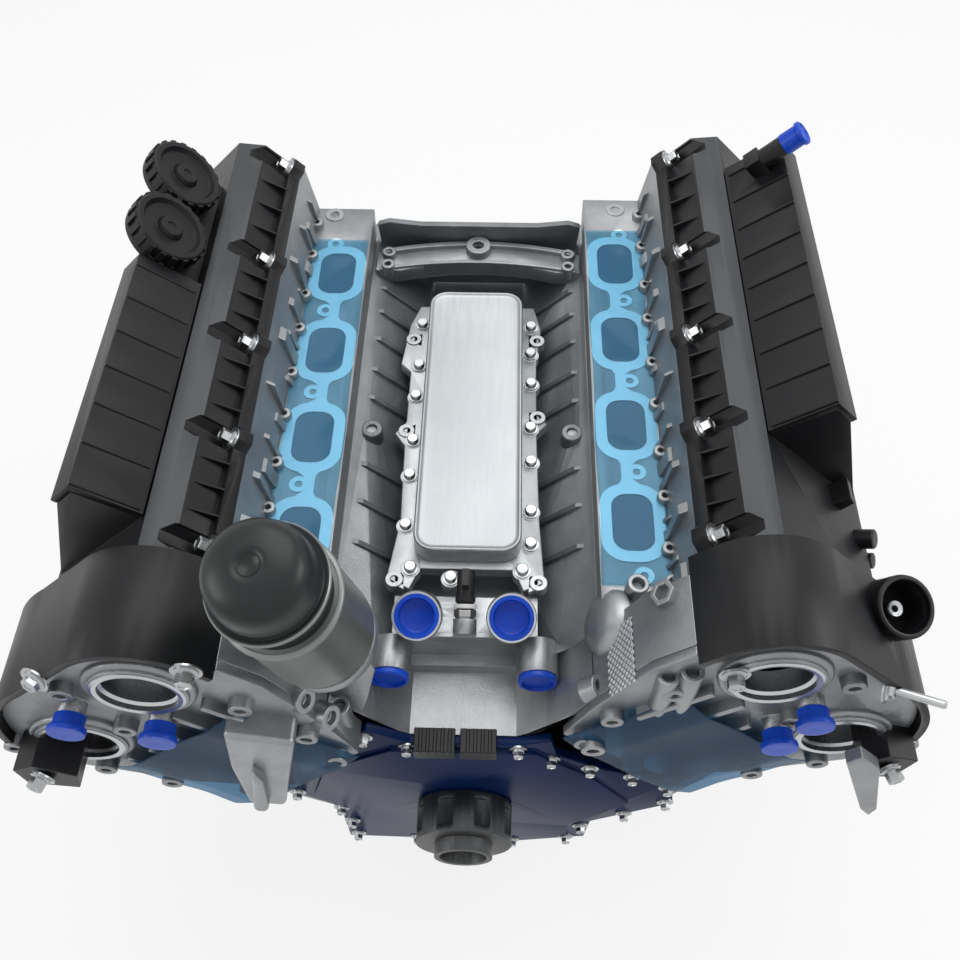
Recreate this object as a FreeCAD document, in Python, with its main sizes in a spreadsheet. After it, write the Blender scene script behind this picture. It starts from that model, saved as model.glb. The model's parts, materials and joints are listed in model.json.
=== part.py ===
"""A complete V8 engine, long block with timing drive, in millimetres.

The origin is the centre of the flywheel flange of the crankshaft. The crankshaft lies
along Y, the front of the engine faces -Y, +Z is up and +X is on the right as seen from
the front. Stations are distances forward from the flange face. Pieces of a cylinder bank
are drawn in the frame of their bank, in which z runs up the cylinder axes and x runs out
of the valley on the right-hand bank, and into it on the left-hand bank.
"""
import FreeCAD, Part
import math
import os
import re
import Sketcher
from FreeCAD import Placement, Rotation, Vector

os.makedirs("parts", exist_ok=True)
doc = FreeCAD.newDocument("engine")
sheet = doc.addObject("Spreadsheet::Sheet", "Sizes")

SIZES = {
    # cylinders and crank train
    "bore": 92.5,
    "bore_pitch": 100,
    "bank_stagger": 19,
    "bank_angle": 45,
    "throw": 46.5,
    "rod_length": 150,
    "deck_height": 226,
    "first_bore": 105,
    "main_radius": 33,
    "main_width": 28,
    "pin_radius": 27,
    "web_thickness": 14,
    "weight_radius": 80,
    "web_nose": 32,
    "flange_radius": 46,
    "flange_thickness": 14,
    "flywheel_circle": 74,
    "flywheel_hole": 10,
    "snout_radius": 17,
    "snout_length": 560,
    "running_fit": 0.05,
    # block
    "block_rear": 5,
    "block_front": 490,
    "case_front": 545,
    "deck_inner": 75,
    "deck_outer": 95,
    "jacket_depth": 106,
    "valley_floor": 48,
    "arch_low": 198,
    "arch_height": 16,
    "arch_eye": 12,
    "arch_hole": 5,
    "arch_station": 50,
    "wall_boss": 9.5,
    "skirt_half": 122,
    "skirt_depth": 75,
    "case_radius": 85,
    "bearing_web": 24,
    "case_wall": 9,
    "front_deck": 140,
    # heads
    "gasket": 1,
    "head_rear": 10,
    "head_front": 545,
    "rail_height": 338,
    "rail_inner": 94,
    "rail_outer": 105,
    "port_level": 250,
    "port_centre": 135,
    "port_width": 34,
    "port_length": 55,
    "port_corner": 12,
    "port_depth": 38,
    "flange_outer": 163,
    "chain_wall": 6,
    "well_inner": 108,
    "well_outer": 134,
    "case_inner": 84,
    "case_outer": 100,
    # cam covers
    "cover_rear": 12,
    "dome_start": 476,
    "cover_front": 560,
    "cover_wall": 5,
    "rail_flange": 12,
    "spine_inner": 87,
    "spine_outer": 71,
    "spine_low": 376.6,
    "spine_high": 396,
    "crest_side": 64,
    "crest_outer": 38,
    "crest": 453,
    "valve_step": 58,
    "valve_deck": 440,
    "valve_radius": 33,
    "valve_depth": 20,
    "valve_height": 438,
    "valve_rear": 66,
    "box_skin": 5,
    "rib": 2,
    "cover_bolt": 89,
    "dome_top": 420,
    "neck_radius": 23,
    "neck_wall": 3.5,
    "neck_side": 24.8,
    "neck_station": 494.1,
    "neck_height": 410,
    "neck_lean": 35.4,
    "neck_length": 34,
    "neck_root": 20,
    "stub_radius": 9,
    "stub_side": 75,
    "stub_station": 88,
    "stub_top": 460,
    # oil cooler in the valley
    "cooler_half": 46,
    "cooler_rear": 110,
    "cooler_front": 413,
    "cooler_top": 215,
    "plate_low": 183,
    "plate_top": 195,
    # coolant outlets and their caps
    "outlet_rear": 443,
    "outlet_front": 480,
    "outlet_top": 188,
    "outlet_side": 38,
    "outlet_station": 460,
    "outlet_lean": 30,
    "outlet_radius": 19,
    "outlet_reach": 26,
    "sensor_lean": 63,
    "sensor_radius": 7.5,
    "sensor_boss": 12,
    "sensor_length": 40,
    "port_side": 60,
    "port_height": 179,
    "port_radius": 17,
    "port_end": 511,
    "port_root": 8,
    "port_wall": 3,
    "cap_length": 14,
    "head_stub": 10,
    "stub_length": 13,
    # oil filter
    "filter_lean": 13.9,
    "filter_body": 96,
    "filter_cap": 61,
    # front and underside
    "cover_plate": 12,
    "hub_radius": 43.5,
    "nose_radius": 26.3,
    "hub_tube": 24,
    "seal_radius": 34,
    "sump_shelf": 60,
    "sump_depth": 190,
    "sump_wall": 6,
    "sump_half": 116,
    # camshafts
    "cam_in_side": 48,
    "cam_in_height": 360,
    "cam_ex_side": 70,
    "cam_ex_height": 341,
    "cam_journal": 14,
    "cam_core": 11,
    "lobe_base": 17,
    "lobe_lift": 9,
    "lobe_width": 15,
    "lobe_offset": 19,
    "cam_web": 16,
    "cam_bay": 29,
    # timing drive
    "cam_sprocket": 45.9,
    "crank_sprocket": 23.1,
    "chain_height": 6,
    "chain_width": 9,
    "chain_station": 520,
    "phaser_length": 26,
}


def fill_sheet():
    """Write the driving sizes into the sheet, each cell under its own alias."""
    for row, (name, size) in enumerate(SIZES.items(), start=1):
        sheet.set("A%d" % row, name)
        sheet.set("B%d" % row, str(size))
        sheet.setAlias("B%d" % row, name)
    doc.recompute()


def linked(text):
    """An expression of size names, as the document reads it."""
    return re.sub(r"[a-z_][a-z_0-9]*", lambda word: "Sizes." + word.group()
                  if word.group() in SIZES else word.group(), str(text))


def number(text):
    """What an expression of size names comes to."""
    result = sheet.evalExpression(linked(text))
    return float(getattr(result, "Value", result))


def bind(thing, prop, text):
    """Tie one property of an object to an expression of size names."""
    thing.setExpression(prop, linked(text))


def signed(side, text):
    """The outward distance of a bank frame, turned round on the left-hand bank."""
    return "(%s)" % text if side > 0 else "-(%s)" % text


def across(height, outward):
    """World X of a point given in the right-hand bank frame."""
    return "((%s) * sin(bank_angle) + (%s) * cos(bank_angle))" % (height, outward)


def above(height, outward):
    """World Z of a point given in the right-hand bank frame."""
    return "((%s) * cos(bank_angle) - (%s) * sin(bank_angle))" % (height, outward)


def outward(x, z):
    """Outward distance in the bank frame of a point given in the world."""
    return "((%s) * cos(bank_angle) - (%s) * sin(bank_angle))" % (x, z)


def height(x, z):
    """Height up the bank frame of a point given in the world."""
    return "((%s) * sin(bank_angle) + (%s) * cos(bank_angle))" % (x, z)


class Piece:
    """A body whose sketches and features are bound to the sheet."""

    ROLES = {"front": "XZ_Plane", "top": "XY_Plane", "side": "YZ_Plane"}

    def __init__(self, label):
        self.body = doc.addObject("PartDesign::Body", label)
        self.body.Label = label

    def place(self, x="0", y="0", z="0"):
        bind(self.body, "Placement.Base.x", x)
        bind(self.body, "Placement.Base.y", y)
        bind(self.body, "Placement.Base.z", z)
        return self

    def turn(self, axis, angle="90"):
        self.body.Placement = Placement(self.body.Placement.Base, Rotation(Vector(*axis), 1))
        bind(self.body, "Placement.Rotation.Angle", angle)
        return self

    def bank(self, side):
        """Lean the body over to one bank, moved forward by the stagger on the left."""
        self.place(y="0" if side > 0 else "-bank_stagger")
        return self.turn((0, side, 0), "bank_angle")

    def sketch(self, plane, offset="0", tilt=None, shift=None):
        """A sketch on an origin plane, moved along its normal, or tilted about Y."""
        drawing = self.body.newObject("Sketcher::SketchObject", self.body.Name + "_sketch")
        role = self.ROLES[plane]
        support = [item for item in self.body.Origin.OriginFeatures if item.Role == role][0]
        drawing.AttachmentSupport = [(support, "")]
        drawing.MapMode = "FlatFace"
        if tilt is not None:
            axis, angle = tilt
            drawing.AttachmentOffset = Placement(Vector(), Rotation(Vector(*axis), 1))
            bind(drawing, "AttachmentOffset.Rotation.Angle", angle)
        for letter, text in zip("xyz", shift or ("0", "0", offset)):
            bind(drawing, "AttachmentOffset.Base." + letter, text)
        return Drawing(drawing)

    def level(self, side, z):
        """A sketch on a level plane of a leaning body, drawn in world X and Y."""
        lean = (signed(side, "-(%s) * sin(bank_angle)" % z), "0", "(%s) * cos(bank_angle)" % z)
        return self.sketch("top", tilt=((0, -side, 0), "bank_angle"), shift=lean)

    def _feature(self, kind, drawing, length, back, both):
        feature = self.body.newObject("PartDesign::" + kind, self.body.Name + "_" + kind.lower())
        feature.Profile = drawing.settle()
        if length is None:
            feature.Type = "ThroughAll"
        else:
            bind(feature, "Length", length)
        feature.Reversed = back
        feature.Midplane = both
        drawing.sketch.Visibility = False
        return feature

    def pad(self, drawing, length, back=False, both=False):
        return self._feature("Pad", drawing, length, back, both)

    def pocket(self, drawing, length=None, back=False, both=False):
        return self._feature("Pocket", drawing, length, back, both)

    def revolve(self, drawing, kind="Revolution", axis="V_Axis"):
        feature = self.body.newObject("PartDesign::" + kind, self.body.Name + "_turned")
        feature.Profile = drawing.settle()
        feature.ReferenceAxis = (drawing.sketch, [axis])
        feature.Angle = 360
        return feature


class Drawing:
    """A sketch whose points and radii are each bound to an expression."""

    def __init__(self, sketch):
        self.sketch = sketch
        self.joints = []
        self.sizes = []

    def _fix(self, kind, picks, text):
        """Note one driving constraint and the expression that drives it."""
        self.sizes.append((Sketcher.Constraint(kind, *picks, number(text)), text))

    def _pin(self, geometry, end, point):
        self._fix("DistanceX", (-1, 1, geometry, end), point[0])
        self._fix("DistanceY", (-1, 1, geometry, end), point[1])

    def settle(self):
        """Add the noted constraints to the sketch and bind the driving ones."""
        self.sketch.addConstraint(self.joints + [size for size, text in self.sizes])
        for count, (size, text) in enumerate(self.sizes):
            name = "size_%d" % count
            self.sketch.renameConstraint(len(self.joints) + count, name)
            bind(self.sketch, "Constraints." + name, text)
        return self.sketch

    def circle(self, centre, radius):
        where = Vector(number(centre[0]), number(centre[1]), 0)
        index = self.sketch.addGeometry(Part.Circle(where, Vector(0, 0, 1), number(radius)))
        self._pin(index, 3, centre)
        self._fix("Radius", (index,), radius)
        return self

    def path(self, points, bends=None):
        """A closed outline. bends gives, for the side after a point, its arc radius.

        A positive radius bows the side out on the right of its travel, a negative one
        on the left, and no arc is longer than a half turn.
        """
        bends = bends or {}
        spots = [Vector(number(x), number(y), 0) for x, y in points]
        bows = {here: number(radius) for here, radius in bends.items()}
        sides = []
        for here, start in enumerate(spots):
            end = spots[(here + 1) % len(spots)]
            if here in bows:
                sides.append(bowed(start, end, bows[here]))
            else:
                sides.append(Part.LineSegment(start, end))
        first = self.sketch.addGeometry(sides)[0]
        heads = [2 if bows.get(here, 0) < 0 else 1 for here in range(len(spots))]
        for here, point in enumerate(points):
            after = (here + 1) % len(spots)
            self.joints.append(Sketcher.Constraint(
                "Coincident", first + here, 3 - heads[here], first + after, heads[after]))
            self._pin(first + here, heads[here], point)
        for here, radius in bends.items():
            self._fix("Radius", (first + here,), "abs(%s)" % radius)
        return self

    def box(self, low, high):
        return self.path([low, (high[0], low[1]), high, (low[0], high[1])])

    def wheel(self, centre, radius, sides):
        """A regular outline of straight sides inside a circle."""
        points = []
        for side in range(sides):
            turn = math.radians(360 * (side + 0.5) / sides)
            points.append(("%s + (%s) * (%.6f)" % (centre[0], radius, math.cos(turn)),
                           "%s + (%s) * (%.6f)" % (centre[1], radius, math.sin(turn))))
        return self.path(points)

    def rounded(self, centre, width, length, radius, flat=False):
        """A rectangle about a centre with round corners, or with flat ones."""
        left, right = ["%s %s (%s) / 2" % (centre[0], sign, width) for sign in "-+"]
        low, high = ["%s %s (%s) / 2" % (centre[1], sign, length) for sign in "-+"]
        points = [("%s + %s" % (left, radius), low), ("%s - %s" % (right, radius), low),
                  (right, "%s + %s" % (low, radius)), (right, "%s - %s" % (high, radius)),
                  ("%s - %s" % (right, radius), high), ("%s + %s" % (left, radius), high),
                  (left, "%s - %s" % (high, radius)), (left, "%s + %s" % (low, radius))]
        bends = {} if flat else {1: radius, 3: radius, 5: radius, 7: radius}
        return self.path(points, bends)


def bowed(start, end, radius):
    """The short arc from start to end that bows to one side with a given radius."""
    chord = end - start
    half = chord.Length / 2
    reach = math.sqrt(max(radius * radius - half * half, 0))
    aside = Vector(-chord.y, chord.x, 0).normalize()
    centre = (start + end) * 0.5 + aside * (reach if radius > 0 else -reach)
    circle = Part.Circle(centre, Vector(0, 0, 1), abs(radius))
    ends = (start, end) if radius > 0 else (end, start)
    return Part.ArcOfCircle(circle, circle.parameter(ends[0]), circle.parameter(ends[1]))


SIDES = {"right": 1, "left": -1}
CYLINDERS = range(4)
MAINS = range(5)


def engine_block():
    """The casting: two decks, eight bores, the crankcase and the front chain case."""
    block = Piece("engine_block")
    inner = (across("deck_height", "-deck_inner"), above("deck_height", "-deck_inner"))
    outer = (across("deck_height", "deck_outer"), above("deck_height", "deck_outer"))
    jacket = (across("deck_height - jacket_depth", "deck_outer"),
              above("deck_height - jacket_depth", "deck_outer"))
    floor = above("deck_height - (%s - valley_floor) / cos(bank_angle)" % inner[0], "-deck_inner")
    half = [("valley_floor", floor), inner, outer, jacket,
            ("skirt_half", "-20"), ("skirt_half", "-skirt_depth")]
    whole = half + [("-%s" % x, z) for x, z in reversed(half)]
    block.pad(block.sketch("front", "block_rear").path(whole), "block_front - block_rear")

    well_top = (across("deck_height", "-case_inner"), above("deck_height", "-case_inner"))
    well_side = (across("deck_height", "case_outer"), above("deck_height", "case_outer"))
    case = [("68", "158"), well_top, well_side, ("192", "3"), ("skirt_half", "-57"),
            ("skirt_half", "-skirt_depth")]
    case = [("44", "front_deck")] + case
    ring = case + [("-%s" % x, z) for x, z in reversed(case)]
    block.pad(block.sketch("front", "block_front").path(ring), "case_front - block_front")
    well_in = "case_inner - chain_wall"
    well_out = "case_outer - chain_wall"
    tall = "deck_height + 40"
    hollow = [("40", "front_deck - case_wall"), ("62", "150"),
              (across(tall, "-(%s)" % well_in), above(tall, "-(%s)" % well_in)),
              (across(tall, well_out), above(tall, well_out)),
              (across("deck_height - 12", well_out), above("deck_height - 12", well_out)),
              ("192 - case_wall - 3", "3 + 4"), ("skirt_half - case_wall", "-57 + 4"),
              ("skirt_half - case_wall", "-skirt_depth - 10")]
    inside = hollow + [("-(%s)" % x, z) for x, z in reversed(hollow)]
    block.pocket(block.sketch("front", "block_front + case_wall").path(inside),
                 "case_front - block_front", back=True)

    for bay in range(4):
        start = "first_bore - bore_pitch / 2 + 9.5 + bearing_web / 2 + %d * bore_pitch" % bay
        drawing = block.sketch("front", start)
        drawing.path([("-case_radius", "0"), ("-case_radius", "-skirt_depth - 1"),
                      ("case_radius", "-skirt_depth - 1"), ("case_radius", "0"),
                      ("0", "case_radius")], {3: "case_radius", 4: "case_radius"})
        block.pocket(drawing, "bore_pitch - bearing_web", back=True)
    room = "main_width * 2 + 12"
    block.pocket(block.sketch("front", "block_rear").box(
        ("-(%s)" % room, "-skirt_depth - 1"), (room, "0")), back=True)
    block.pocket(block.sketch("front", "block_rear").circle(
        ("0", "0"), "main_radius + running_fit"), back=True)
    block.pocket(block.sketch("front", "block_rear").circle(
        ("0", "0"), "flange_radius + 1"), "flange_thickness - block_rear + 1", back=True)

    block.pad(block.sketch("top", "%s - 1" % floor).box(
        ("-50", "-cooler_front + 5"), ("50", "-cooler_rear - 25")),
        "plate_low - %s + 1" % floor)
    valley_castings(block)
    for side in (1, -1):
        lean = ((0, side, 0), "bank_angle")
        top = (signed(side, "deck_height * sin(bank_angle)"), "0",
               "deck_height * cos(bank_angle)")
        drawing = block.sketch("top", tilt=lean, shift=top)
        for row in CYLINDERS:
            along = "-(first_bore + %d * bore_pitch%s)" % (row, "" if side > 0 else " + bank_stagger")
            drawing.circle(("0", along), "bore / 2")
        block.pocket(drawing, "deck_height - 62")
    return block.body


def valley_castings(block):
    """The arched bar across the rear of the valley, the wall bosses and the front ports."""
    arch = block.sketch("top", "arch_low")
    arch.path([("-104", "-80"), ("-80", "-80"), ("80", "-80"), ("104", "-80"), ("104", "-54"),
               ("80", "-54"), ("-80", "-54"), ("-104", "-54")], {1: "-272", 5: "240"})
    block.pad(arch, "arch_height")
    middle = ("0", "-arch_station")
    block.pad(block.sketch("top", "arch_low - 2").wheel(middle, "arch_eye", 8),
              "arch_height + 6")
    block.pocket(block.sketch("top", "arch_low + arch_height + 4").circle(middle, "arch_hole"),
                 "arch_height")
    knobs = block.sketch("top", "arch_low - 48")
    for side in SIDES.values():
        knobs.wheel((signed(side, "92"), "-280"), "wall_boss", 8)
    block.pad(knobs, "55")
    ports = block.sketch("front", "block_front - port_root")
    sockets = block.sketch("front", "port_end - 12")
    for side in SIDES.values():
        centre = (signed(side, "port_side"), "port_height")
        ports.circle(centre, "port_radius")
        sockets.circle(centre, "port_radius - port_wall")
    block.pad(ports, "port_end - block_front + port_root")
    block.pocket(sockets, back=True)


def main_bearing_caps():
    """The five caps that hold the crankshaft up from below."""
    caps = []
    for bearing in MAINS:
        middle = "first_bore - bore_pitch / 2 + 9.5 + %d * bore_pitch" % bearing
        cap = Piece("main_cap_%d" % bearing)
        room = "main_width * 2 + 12 - 0.1"
        cap.pad(cap.sketch("front", "%s - bearing_web / 2" % middle).path(
            [("-(%s)" % room, "0"), ("-(%s)" % room, "-38"), ("-34", "-62"),
             ("34", "-62"), (room, "-38"), (room, "0")]), "bearing_web")
        cap.pocket(cap.sketch("front", "%s - bearing_web" % middle).circle(
            ("0", "0"), "main_radius + running_fit"), back=True)
        caps.append(cap.body)
    return together("main_bearing_caps", caps)


def crankshaft():
    """Five journals, four pins at right angles to each other, and eight webs."""
    crank = Piece("crankshaft")
    crank.pad(crank.sketch("front").circle(("0", "0"), "flange_radius"), "flange_thickness")
    first = "(first_bore - bore_pitch / 2 + 9.5)"
    crank.pad(crank.sketch("front", "flange_thickness").circle(("0", "0"), "main_radius - 1"),
              "%s - main_width / 2 - flange_thickness" % first)
    for bearing in MAINS:
        start = "%s - main_width / 2 + %d * bore_pitch" % (first, bearing)
        crank.pad(crank.sketch("front", start).circle(("0", "0"), "main_radius"), "main_width")
    for row, phase in zip(CYLINDERS, (0, 90, 270, 180)):
        start = "%s + main_width / 2 + %d * bore_pitch" % (first, row)
        gap = "bore_pitch - main_width - 2 * web_thickness"
        lift = (str(math.cos(math.radians(phase + 90)).__round__()),
                str(math.sin(math.radians(phase + 90)).__round__()))
        centre = ["throw * (%s)" % share for share in lift]
        crank.pad(crank.sketch("front", "%s + web_thickness" % start).circle(
            centre, "pin_radius"), gap)
        for web in ("0", "web_thickness + %s" % gap):
            crank.pad(crank.sketch("front", "%s + %s" % (start, web), tilt=((0, 0, 1), str(phase)))
                      .path(WEB), "web_thickness")
    front = "%s + main_width / 2 + 4 * bore_pitch" % first
    crank.pad(crank.sketch("front", front).circle(("0", "0"), "snout_radius"),
              "snout_length - (%s)" % front)
    holes = crank.sketch("front")
    for bolt in range(8):
        holes.circle(("flywheel_circle / 2 * cos(%d)" % (45 * bolt),
                      "flywheel_circle / 2 * sin(%d)" % (45 * bolt)), "flywheel_hole / 2")
    crank.pocket(holes, "flange_thickness - 1", back=True)
    return crank.body


WEB = [("-weight_radius * cos(30)", "-weight_radius * sin(30)"),
       ("-weight_radius * cos(70)", "-weight_radius * sin(70)"),
       ("weight_radius * cos(70)", "-weight_radius * sin(70)"),
       ("weight_radius * cos(30)", "-weight_radius * sin(30)"),
       ("web_nose", "throw"), ("web_nose * cos(50)", "throw + web_nose * sin(50)"),
       ("-web_nose * cos(50)", "throw + web_nose * sin(50)"), ("-web_nose", "throw")]


def together(label, pieces):
    """One node of several separate solids of the same kind."""
    group = doc.addObject("Part::Compound", label)
    group.Label = label
    group.Links = pieces
    return group


def fused(label, pieces):
    """One solid made of several that are cast together."""
    casting = doc.addObject("Part::MultiFuse", label)
    casting.Label = label
    casting.Shapes = pieces
    casting.Refine = True
    return casting


def finish(nodes):
    """Check every object and write each node to its own file."""
    doc.recompute()
    for thing in doc.Objects:
        if "Invalid" in thing.State or "Error" in thing.State:
            raise RuntimeError("%s failed: %s" % (thing.Label, thing.State))
    for node in nodes:
        if node.Shape.isNull() or not node.Shape.isValid():
            raise RuntimeError(node.Label + " has no valid shape")
        node.Shape.exportStep("parts/%s.step" % node.Label)
        print("%-28s %d solids" % (node.Label, len(node.Shape.Solids)))


def on_bank(drawing, side, points, bends=None):
    """An outline given for the right-hand bank, mirrored on the left-hand one."""
    turned = [(signed(side, x), z) for x, z in points]
    bows = {here: radius if side > 0 else "-(%s)" % radius
            for here, radius in (bends or {}).items()}
    return drawing.path(turned, bows)


def cylinder_head(name, side):
    """The casting over one bank: intake ports, cam bearings and the chain housing."""
    head = Piece("cylinder_head_" + name).bank(side)
    seat = "deck_height + gasket"
    inner_x = across("deck_height", "-deck_inner")
    step = (outward(inner_x, "port_level"), height(inner_x, "port_level"))
    shelf = (outward("flange_outer", "port_level"), height("flange_outer", "port_level"))
    outline = [("-deck_inner", seat), ("deck_outer", seat), ("deck_outer", "deck_height + 60"),
               ("rail_outer", "rail_height - 38"), ("rail_outer", "rail_height"),
               ("-rail_inner", "rail_height"), shelf, step]
    head.pad(on_bank(head.sketch("front", "head_rear"), side, outline),
             "block_front - head_rear")
    housing = [("-case_inner", seat), ("case_outer", seat), ("well_outer", "310"),
               ("well_outer", "rail_height"), ("-well_inner", "rail_height"),
               ("-well_inner", "300")]
    head.pad(on_bank(head.sketch("front", "block_front"), side, housing),
             "head_front - block_front")
    thin = "chain_wall"
    inside = [("-case_inner + %s" % thin, "deck_height"), ("case_outer - %s" % thin, "deck_height"),
              ("well_outer - %s" % thin, "310"), ("well_outer - %s" % thin, "rail_height + 1"),
              ("-well_inner + %s" % thin, "rail_height + 1"), ("-well_inner + %s" % thin, "300")]
    head.pocket(on_bank(head.sketch("front", "block_front + case_wall"), side, inside),
                "head_front - block_front", back=True)
    ports = head.level(side, "port_level")
    for row in CYLINDERS:
        ports.rounded((signed(side, "port_centre"), "-(first_bore + %d * bore_pitch)" % row),
                      "port_width", "port_length", "port_corner")
    head.pocket(ports, "port_depth")
    bearings(head, side)
    return head.body


def cams(side):
    """Where the two camshafts of a bank run, in its frame."""
    return {"intake": (signed(side, "-cam_in_side"), "cam_in_height"),
            "exhaust": (signed(side, "cam_ex_side"), "cam_ex_height")}


def web_start(web):
    """The rear face of a camshaft bearing web."""
    return "first_bore - bore_pitch / 2 - cam_web / 2 + %d * bore_pitch" % web


def bearings(head, side):
    """Troughs for the lobes, with a web and a half bearing between each pair."""
    for web in range(4):
        trough = head.sketch("front", web_start(web) + " + cam_web")
        for spot in cams(side).values():
            trough.wheel(spot, "cam_bay", 8)
        head.pocket(trough, "bore_pitch - cam_web", back=True)
    for web in MAINS:
        tower = head.sketch("front", web_start(web))
        for x, z in cams(side).values():
            tower.box(("%s - 20" % x, "rail_height - 2"), ("%s + 20" % x, z))
        head.pad(tower, "cam_web")
    bore = head.sketch("front", web_start(0) + " - 8")
    for spot in cams(side).values():
        bore.circle(spot, "cam_journal + running_fit")
    head.pocket(bore, back=True)


def cam_caps(name, side):
    """The caps that close the camshaft bearings from above."""
    caps = []
    for kind, (x, z) in cams(side).items():
        for web in MAINS:
            cap = Piece("cam_cap_%s_%s_%d" % (kind, name, web)).bank(side)
            cap.pad(on_bank(cap.sketch("front", web_start(web)), 1,
                            [("%s - 20" % x, z), ("%s + 20" % x, z), ("%s + 20" % x, z + " + 9"),
                             ("%s + 11" % x, z + " + 20"), ("%s - 11" % x, z + " + 20"),
                             ("%s - 20" % x, z + " + 9")]), "cam_web")
            cap.pocket(cap.sketch("front", web_start(web)).circle(
                (x, z), "cam_journal + running_fit"), back=True)
            caps.append(cap.body)
    return together("cam_caps_" + name, caps)


def head_gasket(name, side):
    """The flat gasket between block and head."""
    sheet_piece = Piece("head_gasket_" + name).bank(side)
    drawing = sheet_piece.sketch("top", "deck_height")
    drawing.box((signed(side, "-deck_inner"), "-block_front"),
                (signed(side, "deck_outer"), "-head_rear"))
    for row in CYLINDERS:
        drawing.wheel(("0", "-(first_bore + %d * bore_pitch)" % row), "bore / 2 + 1.6", 16)
    sheet_piece.pad(drawing, "gasket")
    return sheet_piece.body


def intake_gasket(name, side):
    """Four port rings and the narrow bridges with the bolt eyes between them."""
    ring = Piece("intake_gasket_" + name).bank(side)
    flat = ring.level(side, "port_level")
    ports = ring.level(side, "port_level")
    for row in CYLINDERS:
        centre = (signed(side, "port_centre"), "-(first_bore + %d * bore_pitch)" % row)
        flat.rounded(centre, "port_width + 14", "port_length + 20", "port_corner + 2", True)
        ports.rounded(centre, "port_width + 1", "port_length + 1", "port_corner - 3", True)
    ring.pad(flat, "gasket")
    bridge = ring.level(side, "port_level")
    bridge.box((signed(side, "port_centre - 10"), "-(first_bore + 3 * bore_pitch + 50)"),
               (signed(side, "port_centre + 10"), "-(first_bore - 50)"))
    ring.pad(bridge, "gasket")
    ring.pocket(ports, "gasket", back=True)
    return ring.body


def port_film(name, side):
    """The clear film stuck over the intake ports for transport."""
    film = Piece("port_film_" + name).bank(side)
    film.pad(film.level(side, "port_level + gasket").box(
        (signed(side, "port_centre - 25"), "-(first_bore + 3 * bore_pitch + 61)"),
        (signed(side, "port_centre + 25"), "-(first_bore - 56)")), "gasket / 2")
    return film.body


def camshaft(kind, name, side, phases):
    """A camshaft with five journals and two lobes to each cylinder."""
    shaft = Piece("camshaft_%s_%s" % (kind, name)).bank(side)
    x, z = cams(side)[kind]
    shaft.pad(shaft.sketch("front", web_start(0) + " - 6").wheel((x, z), "cam_core", 8),
              "chain_station - phaser_length / 2 - (%s - 6)" % web_start(0))
    for web in MAINS:
        shaft.pad(shaft.sketch("front", web_start(web) + " - 1").circle((x, z), "cam_journal"),
                  "cam_web + 2")
    for row, phase in zip(CYLINDERS, phases):
        for step in ("-lobe_offset", "lobe_offset"):
            start = "first_bore + %d * bore_pitch + (%s) - lobe_width / 2" % (row, step)
            drawing = shaft.sketch("front", tilt=((0, 0, 1), str(phase)), shift=(x, z, start))
            shaft.pad(drawing.path(LOBE), "lobe_width")
    return shaft.body


LOBE = [("lobe_base * cos(15)", "lobe_base * sin(15)"), ("lobe_lift", "lobe_base + 2"),
        ("lobe_lift / 2", "lobe_base + lobe_lift"), ("-lobe_lift / 2", "lobe_base + lobe_lift"),
        ("-lobe_lift", "lobe_base + 2"), ("-lobe_base * cos(15)", "lobe_base * sin(15)"),
        ("-lobe_base * cos(30)", "-lobe_base * sin(30)"),
        ("-lobe_base * cos(70)", "-lobe_base * sin(70)"),
        ("lobe_base * cos(70)", "-lobe_base * sin(70)"),
        ("lobe_base * cos(30)", "-lobe_base * sin(30)")]


def cam_phaser(kind, name, side):
    """The variable timing unit on the front of a camshaft, with its sprocket."""
    unit = Piece("cam_phaser_%s_%s" % (kind, name)).bank(side)
    spot = cams(side)[kind]
    unit.pad(unit.sketch("front", "chain_station - phaser_length / 2").wheel(
        spot, "cam_sprocket - 9", 12), "phaser_length")
    unit.pad(unit.sketch("front", "chain_station - chain_width / 2 + 1").wheel(
        spot, "cam_sprocket - chain_height / 2 - 0.3", 20), "chain_width - 2")
    return unit.body


def chain_loop(circles):
    """A closed wire round circles given counterclockwise, in the plane of the chain."""
    sides = []
    for here, (centre, radius) in enumerate(circles):
        after, reach = circles[(here + 1) % len(circles)]
        way = after - centre
        lean = (radius - reach) / way.Length
        way.normalize()
        right = Vector(way.z, 0, -way.x)
        out = way * lean + right * math.sqrt(1 - lean * lean)
        sides.append((centre + out * radius, after + out * reach, out))
    edges = []
    for here, (centre, radius) in enumerate(circles):
        come, go = sides[here - 1][2], sides[here][2]
        start = math.atan2(come.z, come.x)
        sweep = (math.atan2(go.z, go.x) - start) % (2 * math.pi)
        middle = Vector(math.cos(start + sweep / 2), 0, math.sin(start + sweep / 2))
        edges.append(Part.Arc(sides[here - 1][1], centre + middle * radius,
                              sides[here][0]).toShape())
        edges.append(Part.LineSegment(sides[here][0], sides[here][1]).toShape())
    return Part.Wire(edges)


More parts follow.
